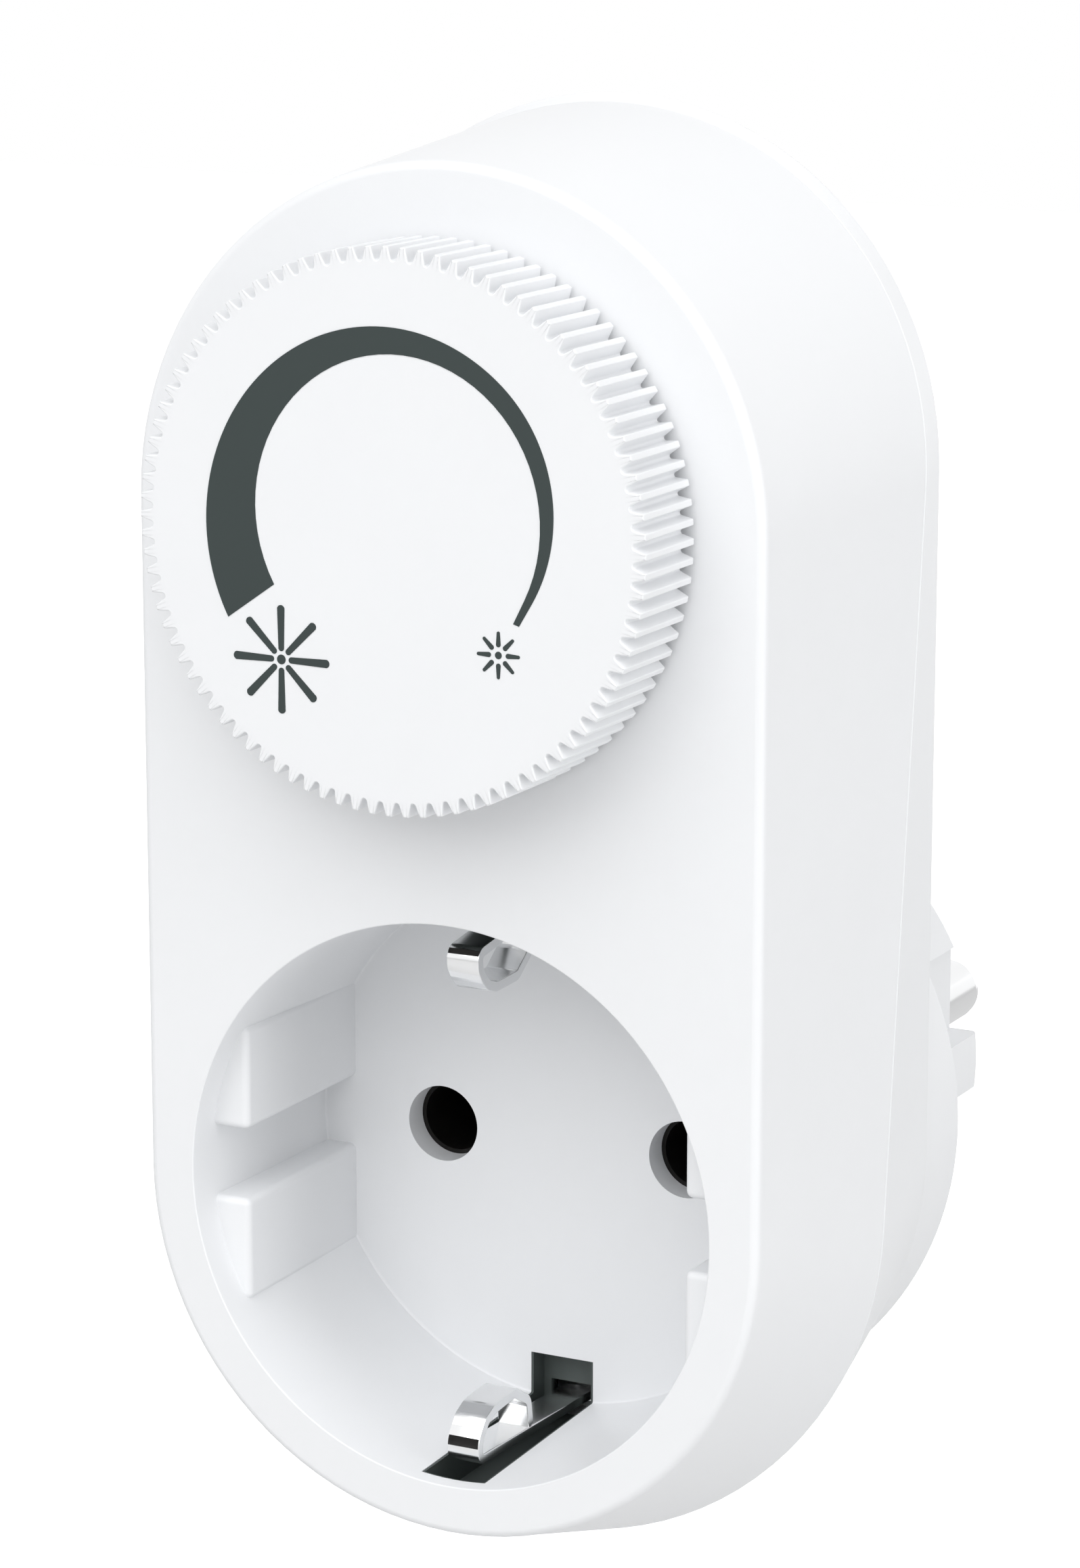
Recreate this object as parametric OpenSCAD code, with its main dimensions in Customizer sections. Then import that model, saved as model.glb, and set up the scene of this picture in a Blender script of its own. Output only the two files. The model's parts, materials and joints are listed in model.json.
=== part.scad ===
// Plug-in dimmer: a housing that plugs into a wall socket, with an earthed socket of its own below
// and a rotary dial above. The origin is the centre of the plug's mating face, between its pins.
// +X is to the right seen from the front, +Y runs into the wall, and +Z is up.

/* [Housing] */
// Width of the flat front face
face_w = 46.1; // [45.6:0.1:52]
// Distance from the socket axis up to the dial axis
axis_gap = 46.7; // [46:0.1:56]
// Width at the parting line, where the housing is widest
skirt_w = 49.4; // [48:0.1:56]
// Rise of the upper arc at the parting line above the dial axis
skirt_rise = 0.8; // [0:0.1:3]
// Drop of the lower arc at the parting line below the socket axis
skirt_drop = 2.8; // [2:0.1:5]
// Width of the rear face
rear_w = 48.4; // [47:0.1:55]
// Rise of the upper arc of the rear face above the dial axis
rear_rise = 1.5; // [0:0.1:3]
// Drop of the lower arc of the rear face below the socket axis
rear_drop = 1.3; // [1:0.1:4]
// Depth from the front face to the rear face
housing_d = 26; // [25:0.5:34]
// Depth of the parting line at the height of the socket axis
parting_d = 17.2; // [16:0.1:19]
// Lean of the parting line, its top towards the rear, in degrees
parting_tilt = 5.7; // [3:0.1:7]
// Gap between the covers along the parting line
parting_gap = 0.15; // [0.05:0.05:0.4]
// Wall thickness of both covers
wall = 2; // [1.6:0.1:2.4]
// Radius on the edge of the front face
edge_r = 0.7; // [0.5:0.1:1.6]
// Radius on the edge of the rear face
rear_edge_r = 1.5; // [0.5:0.1:2.5]

/* [Socket] */
// Diameter of the recess at its rim
socket_d = 39.1; // [38.8:0.1:40]
// Diameter of the recess at its floor
socket_floor_d = 38.2; // [38:0.1:38.8]
// Depth of the recess
socket_depth = 17.5; // [16:0.1:19]
// Thickness of the recess floor
floor_t = 2; // [1.5:0.1:2.5]
// Wall thickness of the recess cup
cup_wall = 1.6; // [1.2:0.1:2]
// Diameter of the pin holes in the recess floor
hole_d = 5.5; // [5.2:0.1:6]
// Drop of the socket axis below the plug axis
socket_drop = 0.8; // [0:0.1:2]
// Distance between the guide ribs across the recess
rib_across = 33.2; // [32:0.1:35]
// Gap between the two ribs on one side
rib_gap = 5; // [4:0.1:7]
// Height of one guide rib
rib_h = 7.3; // [5:0.1:8]
// Depth at which the guide ribs start
rib_start = 2.5; // [1:0.1:5]
// Radius on the leading edge of a guide rib
rib_edge_r = 1.2; // [0.4:0.1:2]
// Width of the slots for the earth clips
slot_w = 4.9; // [4:0.1:6]
// Depth at which the slots start
slot_start = 1.2; // [0.8:0.1:2]
// Reach of the slot opening into the recess floor
slot_reach = 3.2; // [2.5:0.1:4]
// Wall thickness of the channels round the clip slots
channel_wall = 1.2; // [0.8:0.1:1.4]

/* [Plug] */
// Distance between the pins, on the plug and in the socket
pin_pitch = 19; // [18:0.1:20]
// Pin diameter
pin_d = 4.8; // [4:0.1:5]
// Diameter of the pins in the plug's front wall and behind it
pin_root_d = 5.2; // [5.1:0.1:5.6]
// Free length of the pins
pin_l = 19; // [17:0.5:21]
// Radius on the tip of the pins
pin_tip_r = 1.5; // [0.5:0.1:2]
// Diameter of the plug body
plug_d = 38; // [36:0.1:38.5]
// Length of the plug body
plug_l = 16; // [14:0.5:18]
// Thickness of the plug's front wall, which holds the pins
plug_face_t = 3.5; // [3:0.1:5]
// Diameter of the hollow in the plug body
plug_hollow_d = 28; // [27:0.1:29]
// Diameter of the round base under the plug body
base_d = 48; // [47:0.1:52]
// Height of the round base
base_h = 6; // [5:0.1:8]
// Radius on the edge of the round base
base_edge_r = 0.8; // [0.2:0.1:1.5]
// Distance between the side notches across the plug body
notch_across = 33.2; // [32:0.1:35]
// Gap between the two notches on one side
notch_gap = 4.1; // [3:0.1:6]
// Height of one side notch
notch_h = 6.3; // [5:0.1:7]
// Width of the earth grooves on the plug body
groove_w = 5.2; // [4.8:0.1:6]
// Depth of the earth grooves on the plug body
groove_depth = 2.6; // [2.2:0.1:3]
// Play of a pin in its hole
pin_play = 0.02; // [0.01:0.01:0.05]
// Play of an earth strip in its groove
strip_play = 0.1; // [0.05:0.05:0.2]

/* [Earth parts] */
// Width of the socket clips
clip_w = 2.4; // [2:0.1:3]
// Thickness of the socket clips
clip_t = 0.8; // [0.5:0.1:0.9]
// Distance between the noses of the two clips
clip_across = 28.8; // [28:0.1:31]
// Outward offset of the clip strips from the edge of the recess floor
clip_offset = 0.2; // [0:0.05:0.4]
// Depth at which the clips start
clip_start = 2.6; // [2:0.1:4]
// Length of the clip nose, front to back
clip_nose_l = 7.6; // [6:0.1:9]
// Radius on the shoulders of the clip nose
clip_shoulder_r = 2; // [1.2:0.1:2.4]
// Swing of a clip when a plug pushes it aside, in degrees
clip_swing = 5.5; // [3:0.1:5.5]
// Radius of the bead that a clip swings on
bead_r = 0.7; // [0.6:0.05:0.9]
// Play of the bead in its seat
bead_play = 0.05; // [0.02:0.01:0.1]
// Room left behind a clip at the end of its swing
swing_room = 0.3; // [0.2:0.05:0.5]
// Thickness of the lips of the bead's seat
seat_lip = 0.4; // [0.3:0.05:0.5]
// Width of the earth strap and of the plug's earth strips
strap_w = 4.4; // [3.6:0.1:4.5]
// Thickness of the earth strap and of the plug's earth strips
strap_t = 0.8; // [0.6:0.1:1]
// Length of the plug's earth strips left bare at the plug face end
strip_setback = 2; // [1:0.1:4]

/* [Dial] */
// Diameter of the dial over its teeth
dial_d = 36.6; // [34:0.1:40]
// Height of the dial
dial_h = 6.85; // [5.5:0.05:9]
// Gap between the dial and the front face
dial_gap = 0.4; // [0.3:0.05:1]
// Number of teeth round the dial
dial_teeth = 92; // [60:1:120]
// Depth of the teeth
tooth_depth = 0.9; // [0.5:0.1:1.5]
// Width of a tooth at its tip
tooth_tip_w = 0.4; // [0.2:0.05:0.5]
// Width of the groove between two teeth at its root
tooth_root_w = 0.25; // [0.1:0.05:0.4]
// Thickness of the dial's face
dial_face_t = 1.6; // [1.2:0.1:2.5]
// Thickness of the dial's rim inside the teeth
dial_rim_t = 2; // [1.2:0.1:3]
// Diameter of the dial's hub
hub_d = 10; // [9:0.1:14]
// Turn of the dial from the middle to either end, in degrees
dial_turn = 135; // [120:1:140]

/* [Control] */
// Diameter of the shaft
shaft_d = 6; // [5:0.1:6.5]
// Depth of the flat on the shaft
shaft_flat = 0.8; // [0.4:0.1:1.2]
// Gap between the shaft and the hole in the front cover
shaft_gap = 0.3; // [0.2:0.05:0.6]
// Running play of the shaft in the control's body
shaft_play = 0.05; // [0.02:0.01:0.09]
// Slack of the dial and the wiper on the shaft
press_slack = 0.02; // [0.01:0.01:0.04]
// Diameter of the control's body
pot_d = 16; // [15:0.1:18]
// Height of the control, with its base
pot_h = 7.5; // [7:0.1:9]
// Wall thickness of the control's body
pot_wall = 1; // [0.8:0.1:1.2]
// Thickness of the control's front
pot_front_t = 1.2; // [0.8:0.1:1.4]
// Thickness of the control's base
pot_base_t = 1; // [0.8:0.1:1.4]
// Diameter of the shaft's journal in the base
journal_d = 3; // [2:0.1:4]
// Width of the resistive track
track_w = 1.6; // [1:0.1:2]
// Thickness of the resistive track
track_t = 0.4; // [0.2:0.05:0.6]
// Angle left open between the track's ends and straight down, in degrees
track_end = 30; // [20:1:35]
// Thickness of the wiper disc
wiper_t = 1; // [0.6:0.1:1.4]
// Room between the wiper disc and the control's front
wiper_room = 0.8; // [0.4:0.1:1]
// Diameter of the wiper's brush
brush_d = 1; // [0.6:0.1:1.2]
// Width of the wiper's stop nose
nose_w = 1.5; // [1:0.1:2]
// Grip of the stop lug on the nose
stop_grip = 0.5; // [0.3:0.05:0.7]
// Room between the wiper's nose and the wall round it
nose_room = 0.25; // [0.2:0.05:0.4]
// Room between the nose and the lug at either end of the turn, in degrees
stop_room = 1; // [0.5:0.1:3]
// Diameter of the control's terminals
terminal_d = 1; // [0.6:0.1:1.2]
// Room round a terminal in the board
terminal_room = 0.1; // [0.05:0.05:0.3]
// Drop of the terminals below the dial axis
terminal_drop = 6; // [5.5:0.1:6.2]
// Distance between the terminals
terminal_pitch = 4; // [3:0.1:4.2]

/* [Board] */
// Thickness of the circuit board
board_t = 1.6; // [1:0.1:2]
// Room between the board and the side walls
board_side_room = 5.5; // [5:0.1:7]
// Room between the board and the screw posts above and below it
board_post_room = 0.4; // [0.2:0.05:0.6]
// Diameter of the standoffs in the front cover
standoff_d = 3.6; // [3:0.1:4]
// Inset of the standoffs from the board's edges
standoff_inset = 2.3; // [2:0.1:3]
// Drop of the posts that press on the board's rear below the dial axis
presser_drop = 6.5; // [6:0.1:7]
// Room between the tallest part on the board and the rear wall
headroom = 0.9; // [0.5:0.1:2]
// Least gap between neighbouring parts on the board
part_gap = 0.35; // [0.2:0.05:0.4]
// Diameter of the choke
choke_d = 11; // [9:0.1:11.4]
// Thickness of the choke's flanges
choke_flange_t = 1.2; // [0.8:0.1:2]
// Diameter of the choke's core between the flanges
choke_neck_d = 5; // [4:0.1:7]
// Slack of the winding on its core
winding_slack = 0.05; // [0.02:0.01:0.1]
// Depth of the winding below the flange edge
winding_inset = 0.6; // [0.3:0.1:1]
// Offset of the choke to the left
choke_offset = 8; // [7.5:0.1:9]
// Offset of the film capacitor to the right
film_offset = 0.6; // [0:0.1:1]
// Rise of the film capacitor above the dial axis
film_rise = 0.6; // [0.4:0.1:1]
// Length of the film capacitor
film_l = 13; // [10:0.1:13]
// Width of the film capacitor
film_w = 6; // [4:0.1:6.5]
// Drop of the heat sink's face below the dial axis
sink_drop = 4.4; // [4.2:0.1:4.6]
// Offset of the heat sink's end to the left
sink_offset = 11.2; // [10.5:0.1:11.2]
// Thickness of the heat sink
sink_t = 1.5; // [1:0.1:1.6]
// Width of the heat sink
sink_w = 14; // [11:0.1:14.2]
// Width of the triac
triac_w = 10; // [9:0.1:10.4]
// Thickness of the triac
triac_t = 4.5; // [4:0.1:4.6]
// Length of the triac's body
triac_l = 8; // [6:0.1:8.5]
// Height of the triac's body above the board
triac_lift = 2.2; // [2:0.1:2.5]
// Thickness of the triac's metal tab
triac_tab_t = 1.3; // [0.8:0.1:1.6]
// Inset of the triac from the heat sink's end
triac_inset = 1; // [0.5:0.1:2]
// Width of the triac's legs
leg_w = 0.8; // [0.5:0.1:1]
// Distance between the triac's legs
leg_pitch = 2.5; // [2.2:0.1:2.8]
// Length of the timing capacitor
timing_l = 6; // [5:0.1:6.2]
// Thickness of the timing capacitor
timing_t = 2.4; // [1.5:0.1:2.6]
// Height of the timing capacitor
timing_h = 6.5; // [5:0.1:9]
// Gap between the timing capacitor and the control's terminals
timing_gap = 0.7; // [0.4:0.1:0.8]
// Diameter of the resistors
resistor_d = 2.3; // [1.8:0.1:2.4]
// Length of the resistors
resistor_l = 6.3; // [5:0.1:6.5]
// Diameter of the diac
diac_d = 2; // [1.6:0.1:2.2]
// Length of the diac
diac_l = 4; // [3:0.1:5]
// Offset of the resistors and the diac to the right
axial_offset = 7.6; // [7.2:0.1:7.8]
// Diameter of the leads of the resistors and the diac
lead_d = 0.5; // [0.4:0.1:0.8]
// Length of those leads before they bend to the board
lead_out = 1.2; // [0.8:0.1:1.4]
// Gap between those parts and the board
axial_lift = 0.05; // [0.02:0.01:0.2]
// Fuse diameter
fuse_d = 5.2; // [4:0.1:5.3]
// Fuse length
fuse_l = 20; // [18:0.5:21]
// Length of one fuse clip
fuse_clip_l = 4; // [3:0.1:5]
// Wall thickness of the fuse clips
fuse_clip_t = 0.5; // [0.3:0.05:0.6]
// Slack of the fuse in its clips
fuse_slack = 0.05; // [0.02:0.01:0.1]
// Length of the fuse's end caps
fuse_cap_l = 5; // [4:0.1:6]
// Thickness of the fuse's end caps
fuse_cap_t = 0.1; // [0.05:0.05:0.2]
// Reach of the fuse clips past the fuse axis
fuse_grip = 1.4; // [1:0.1:2]
// Mouth of the fuse clips
fuse_mouth = 3.2; // [2.6:0.1:3.6]
// Diameter of the insulated wires
wire_d = 2; // [1.4:0.1:2]

/* [Contacts] */
// Bore of the socket contacts
sleeve_bore_d = 4.9; // [4.7:0.05:5.1]
// Wall thickness of the socket contacts
sleeve_wall = 0.8; // [0.5:0.05:0.9]
// Thickness of the contact carrier
carrier_t = 4; // [3.5:0.1:5]
// Diameter of the contact carrier
carrier_d = 34; // [33.4:0.1:34.4]
// Thickness of the cheeks beside the clip roots
cheek_t = 2; // [1.5:0.1:3]
// Slack of the socket contacts in their seats
seat_slack = 0.03; // [0.02:0.01:0.1]
// Thickness of the tongues that line the clip slots
tongue_t = 0.5; // [0.4:0.05:0.7]
// Gap between the tongues and the slot walls
tongue_gap = 0.1; // [0.05:0.05:0.2]
// Diameter of the posts that hold the carrier
keeper_d = 3; // [2:0.1:3.2]
// Inset of those posts from the carrier's edge
keeper_inset = 0.6; // [0.4:0.1:0.7]
// Gap that the live contact leaves before the live pin
live_gap = 2.5; // [2:0.1:4]
// Length of a pin behind the plug's front wall
pin_tail = 4.5; // [3.5:0.1:5]
// Diameter of the collar on a pin
collar_d = 7; // [6:0.1:7.4]
// Thickness of the collar on a pin
collar_t = 2; // [1.5:0.1:2.5]
// Width of the solder tabs
tab_w = 2.4; // [1.6:0.1:3]
// Thickness of the solder tabs
tab_t = 1; // [0.6:0.1:1.2]
// Reach of the solder tabs from their axis
tab_reach = 5.5; // [4.5:0.1:6]
// Gap between the wires and the parts that they pass
wire_gap = 0.4; // [0.3:0.05:0.5]
// Gap between the two wires
wire_pair_gap = 1.9; // [1.6:0.1:2]
// Depth of the wires behind the earth strap
wire_depth = 1.2; // [0.8:0.1:1.4]
// Length of the live wire's end above its tab
wire_drop = 2.2; // [2:0.1:2.4]

/* [Screws] */
// Diameter of the screw shanks
screw_d = 2.5; // [2:0.1:3]
// Length of the screw shanks
screw_l = 11; // [8:0.5:12]
// Diameter of the screw heads
head_d = 5.2; // [4:0.1:5.4]
// Height of the screw heads
head_h = 2; // [1.5:0.1:2.5]
// Slack of a screw in its pilot hole
pilot_slack = 0.02; // [0.01:0.01:0.05]
// Room round the shank and the head in the rear cover
screw_room = 0.25; // [0.15:0.05:0.4]
// Wall thickness of the screw posts
post_wall = 1.7; // [1.2:0.1:1.8]
// Depth at which the front posts end
post_end = 15; // [13:0.1:16]
// Gap between the front posts and the rear posts
post_gap = 0.05; // [0.02:0.01:0.2]
// Thickness of the rear post's end, under a screw head
post_floor = 3; // [2:0.1:4]
// Length of the pilot holes past the screws' ends
pilot_spare = 1; // [0.5:0.1:2]
// Place of the upper posts round the dial axis, from straight up, in degrees
upper_post_angle = 45; // [42:1:48]
// Room between the lower posts and the side walls, and between their screws and the round base
lower_post_room = 1; // [0.6:0.1:1.4]
// Wall thickness of the rear posts round the screw heads
rear_post_wall = 1.2; // [0.8:0.1:1.4]
// Length of the slots in the screw heads
head_slot_l = 3.2; // [2:0.1:3.6]
// Width of the slots in the screw heads
head_slot_w = 0.6; // [0.4:0.1:0.8]

/* [Hidden] */
$fn = 64;
// Facets of the discs that the housing is stretched over
shell_fn = 40;
// Thickness of those discs
leaf = 0.01;
// Overshoot of a cut past the surface it opens
over = 0.2;
// Larger than the whole housing
far = 200;

// Depths, from the plug face forwards
base_y = -plug_l;
rear_y = base_y - base_h;
front_y = rear_y - housing_d;
inner_front_y = front_y + wall;
inner_rear_y = rear_y - wall;
base_inner_y = base_y - wall;
face_inner_y = -plug_face_t;
floor_y = front_y + socket_depth;
cup_back_y = floor_y + floor_t;
carrier_back_y = cup_back_y + carrier_t;
strap_back_y = carrier_back_y + strap_t;
board_y = inner_front_y + pot_h;
board_back_y = board_y + board_t;
part_top_y = inner_rear_y - headroom;
pot_base_y = board_y - pot_base_t;
dial_back_y = front_y - dial_gap;
dial_front_y = dial_back_y - dial_h;
dial_inner_y = dial_front_y + dial_face_t;
pin_inner_y = face_inner_y - pin_tail;

// Heights
socket_z = -socket_drop;
dial_z = socket_z + axis_gap;

// Radii
face_r = face_w / 2;
skirt_r = skirt_w / 2;
rear_r = rear_w / 2;
socket_r = socket_d / 2;
cup_r = socket_r + cup_wall;
plug_r = plug_d / 2;
pin_r = pin_d / 2;
hole_r = hole_d / 2;
shaft_r = shaft_d / 2;
pot_r = pot_d / 2;
pot_inner_r = pot_r - pot_wall;
dial_r = dial_d / 2;
dial_root_r = dial_r - tooth_depth;
carrier_r = carrier_d / 2;
wire_r = wire_d / 2;
sleeve_r = sleeve_bore_d / 2 + sleeve_wall;

// Socket clips: the strip lies at the recess wall, and its bead swings behind the recess floor
clip_strip_r = socket_floor_d / 2 + clip_offset;
bead_y = cup_back_y + bead_r + swing_room;
clip_front_y = front_y + clip_start;
clip_nose_rise = clip_strip_r - clip_across / 2;
clip_back_r = clip_strip_r + clip_t / 2;
bead_seat_w = 2 * (bead_r + bead_play + seat_lip);
tongue_r = clip_back_r + (bead_y - clip_front_y) * sin(clip_swing) + swing_room;
slot_r = tongue_r + tongue_t + tongue_gap;
slot_opening_r = socket_floor_d / 2 - slot_reach;

// Screw posts: the upper pair on a circle about the dial axis, the lower pair clear of the round base
head_room_r = head_d / 2 + screw_room;
post_r = screw_d / 2 + post_wall;
rear_post_r = head_room_r + rear_post_wall;
post_y = front_y + post_end;
seat_y = post_y + post_gap + post_floor;
pilot_end_y = seat_y - screw_l - pilot_spare;
upper_post_reach = face_r - wall - post_r;
lower_post_x = face_r - wall - post_r - lower_post_room;
lower_post_z = sqrt(pow(base_d / 2 + head_room_r + lower_post_room, 2) - pow(lower_post_x, 2));
post_places = [
    for (side = [-1, 1]) [side * upper_post_reach * sin(upper_post_angle),
        dial_z + upper_post_reach * cos(upper_post_angle)],
    for (side = [-1, 1]) [side * lower_post_x, lower_post_z]
];

// Circuit board between the screw posts, and the rows of parts on its rear, from the bottom up
board_w = face_w - 2 * (wall + board_side_room);
board_low = lower_post_z + post_r + board_post_room;
board_high = dial_z + upper_post_reach * cos(upper_post_angle) - post_r - board_post_room;
standoff_x = board_w / 2 - standoff_inset;
presser_z = dial_z - presser_drop;
wire_z = board_low + wire_r + part_gap;
load_x = pin_pitch / 2;
live_x = load_x - wire_d - wire_pair_gap;
fuse_seat_r = fuse_d / 2 + fuse_slack;
fuse_z = wire_z + wire_r + part_gap + fuse_clip_t + fuse_seat_r;
fuse_y = board_back_y + fuse_clip_t + fuse_seat_r;
lower_resistor_z = fuse_z + fuse_seat_r + fuse_clip_t + part_gap + resistor_d / 2;
timing_z = lower_resistor_z + resistor_d / 2 + part_gap;
diac_z = timing_z + timing_t + part_gap + diac_d / 2;
film_z = max(dial_z + film_rise, diac_z + diac_d / 2 + resistor_d + 2 * part_gap);
upper_resistor_z = film_z - part_gap - resistor_d / 2;
sink_z = dial_z - sink_drop;
triac_x = triac_inset + triac_w / 2 - sink_offset;
choke_z = sink_z + sink_t + part_gap + choke_d / 2;
timing_x = terminal_pitch + terminal_d / 2 + timing_gap;

// Control: the wiper's nose meets a lug in the body at both ends of the turn
nose_r = pot_inner_r - nose_room;
lug_r = nose_r - stop_grip;
nose_half_angle = asin(nose_w / 2 / lug_r);
lug_half_angle = 180 - dial_turn - nose_half_angle - stop_room;
wiper_y = inner_front_y + pot_front_t + wiper_room;
wiper_r = lug_r - nose_room;
journal_r = journal_d / 2;
terminal_z = dial_z - terminal_drop;
track_mid_r = (wiper_r + shaft_r) / 2;

// Wires run behind the board, over the edge of the carrier and into the round base
wire_back_y = cup_back_y + carrier_t / 2;
wire_base_r = base_d / 2 - wall - wire_r - wire_gap;
wire_turn_z = min(socket_z + carrier_r + wire_r + wire_gap, sqrt(pow(wire_base_r, 2) - pow(load_x, 2)));
wire_deep_y = strap_back_y + wire_r + wire_depth;
wire_run_z = tab_reach + wire_drop;

// Earth strips of the plug
groove_r = plug_r - groove_depth;
strip_inner_r = groove_r + strip_play;

white = [0.93, 0.94, 0.95];
black = [0.13, 0.14, 0.14];
metal = [0.75, 0.76, 0.77];
copper = [0.78, 0.48, 0.25];

// Limits of a stretch by its middle and width, and by its start and length
function centred(middle, width) = [middle - width / 2, middle + width / 2];
function stretch(start, length) = [start, start + length];

// Round bar along Y
module rod(r, from_y, to_y, x = 0, z = 0) {
    translate([x, from_y, z])
        rotate([-90, 0, 0])
            cylinder(r = r, h = to_y - from_y);
}

// Box between two limits on each axis
module block(xs, ys, zs) {
    translate([xs[0], ys[0], zs[0]])
        cube([xs[1] - xs[0], ys[1] - ys[0], zs[1] - zs[0]]);
}

// Two thin discs that carry one upright section of the housing
module section_discs(y, r, rise, drop, tilt = 0) {
    translate([0, y, socket_z])
        rotate([-tilt, 0, 0])
            for (z = [-drop, axis_gap + rise])
                translate([0, 0, z])
                    rotate([-90, 0, 0])
                        cylinder(r = r, h = leaf, center = true, $fn = shell_fn);
}

// Whole outer form of the housing, without the round base
module housing_form() {
    hull() {
        for (turn = [0, 45, 90])
            section_discs(front_y + edge_r * (1 - sin(turn)) + leaf / 2,
                face_r - edge_r * (1 - cos(turn)), 0, 0);
        section_discs(front_y + parting_d, skirt_r, skirt_rise, skirt_drop, parting_tilt);
        for (turn = [0, 45, 90])
            section_discs(rear_y - rear_edge_r * (1 - sin(turn)) - leaf / 2,
                rear_r - rear_edge_r * (1 - cos(turn)), rear_rise, rear_drop);
    }
}

// Hollow inside the housing, one wall in from the outer form
module housing_hollow() {
    hull() {
        section_discs(inner_front_y + leaf / 2, face_r - wall, 0, 0);
        section_discs(front_y + parting_d, skirt_r - wall, skirt_rise, skirt_drop, parting_tilt);
        section_discs(inner_rear_y - leaf / 2, rear_r - wall, rear_rise, rear_drop);
    }
}

// Half space in front of the parting line (side -1) or behind it (side 1)
module parting_half(side) {
    translate([0, front_y + parting_d, socket_z])
        rotate([-parting_tilt, 0, 0])
            translate([-far / 2, side > 0 ? parting_gap / 2 : -far - parting_gap / 2, -far / 2])
                cube([far, far, far]);
}

// Puts its children at the top and, mirrored, at the bottom of the socket
module socket_top(side) {
    translate([0, 0, socket_z])
        mirror([0, 0, side > 0 ? 0 : 1])
            children();
}

// Four guide ribs with a rounded leading edge
module guide_ribs() {
    rib_in = rib_across / 2;
    rib_front = front_y + rib_start;
    for (side = [-1, 1], up = [-1, 1])
        translate([0, 0, socket_z + (up > 0 ? rib_gap / 2 : -rib_gap / 2 - rib_h)])
            mirror([side > 0 ? 0 : 1, 0, 0])
                intersection() {
                    linear_extrude(rib_h)
                        union() {
                            translate([rib_in + rib_edge_r, rib_front])
                                square([cup_r - rib_in, floor_y + over - rib_front]);
                            translate([rib_in, rib_front + rib_edge_r])
                                square([cup_r - rib_in, floor_y + over - rib_front - rib_edge_r]);
                            translate([rib_in + rib_edge_r, rib_front + rib_edge_r])
                                circle(rib_edge_r);
                        }
                    translate([0, 0, up > 0 ? -rib_gap / 2 : rib_gap / 2 + rib_h])
                        rod(cup_r - cup_wall / 2, rib_front - over, floor_y + over);
                }
}

module front_cover() {
    color(white)
        difference() {
            union() {
                difference() {
                    union() {
                        intersection() {
                            difference() {
                                housing_form();
                                housing_hollow();
                            }
                            parting_half(-1);
                        }
                        intersection() {
                            union() {
                                rod(cup_r, front_y + edge_r, cup_back_y, 0, socket_z);
                                for (side = [-1, 1])
                                    socket_top(side)
                                        block(centred(0, slot_w + 2 * channel_wall),
                                            [front_y + edge_r, cup_back_y], [0, slot_r + channel_wall]);
                            }
                            housing_form();
                        }
                        for (place = post_places)
                            rod(post_r, front_y + edge_r, post_y, place[0], place[1]);
                        for (x = [-standoff_x, standoff_x])
                            for (z = [board_low + standoff_inset, board_high - standoff_inset])
                                rod(standoff_d / 2, front_y + edge_r, board_y, x, z);
                    }
                    translate([0, front_y - leaf, socket_z])
                        rotate([-90, 0, 0])
                            cylinder(r1 = socket_r, r2 = socket_floor_d / 2, h = socket_depth + leaf);
                }
                guide_ribs();
            }
            for (x = [-pin_pitch / 2, pin_pitch / 2])
                rod(hole_r, floor_y - over, cup_back_y + over, x, socket_z);
            for (side = [-1, 1])
                socket_top(side)
                    block(centred(0, slot_w), [front_y + slot_start, cup_back_y + over],
                        [slot_opening_r, slot_r]);
            for (place = post_places)
                rod(screw_d / 2 + pilot_slack, pilot_end_y, post_y + over, place[0], place[1]);
            rod(shaft_r + shaft_gap, front_y - over, inner_front_y + over, 0, dial_z);
        }
}

// Round base with a rounded rear edge
module round_base() {
    translate([0, inner_rear_y, 0])
        rotate([-90, 0, 0])
            rotate_extrude()
                union() {
                    square([base_d / 2 - base_edge_r, base_y - inner_rear_y]);
                    square([base_d / 2, base_y - inner_rear_y - base_edge_r]);
                    translate([base_d / 2 - base_edge_r, base_y - inner_rear_y - base_edge_r])
                        circle(base_edge_r);
                }
}

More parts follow.
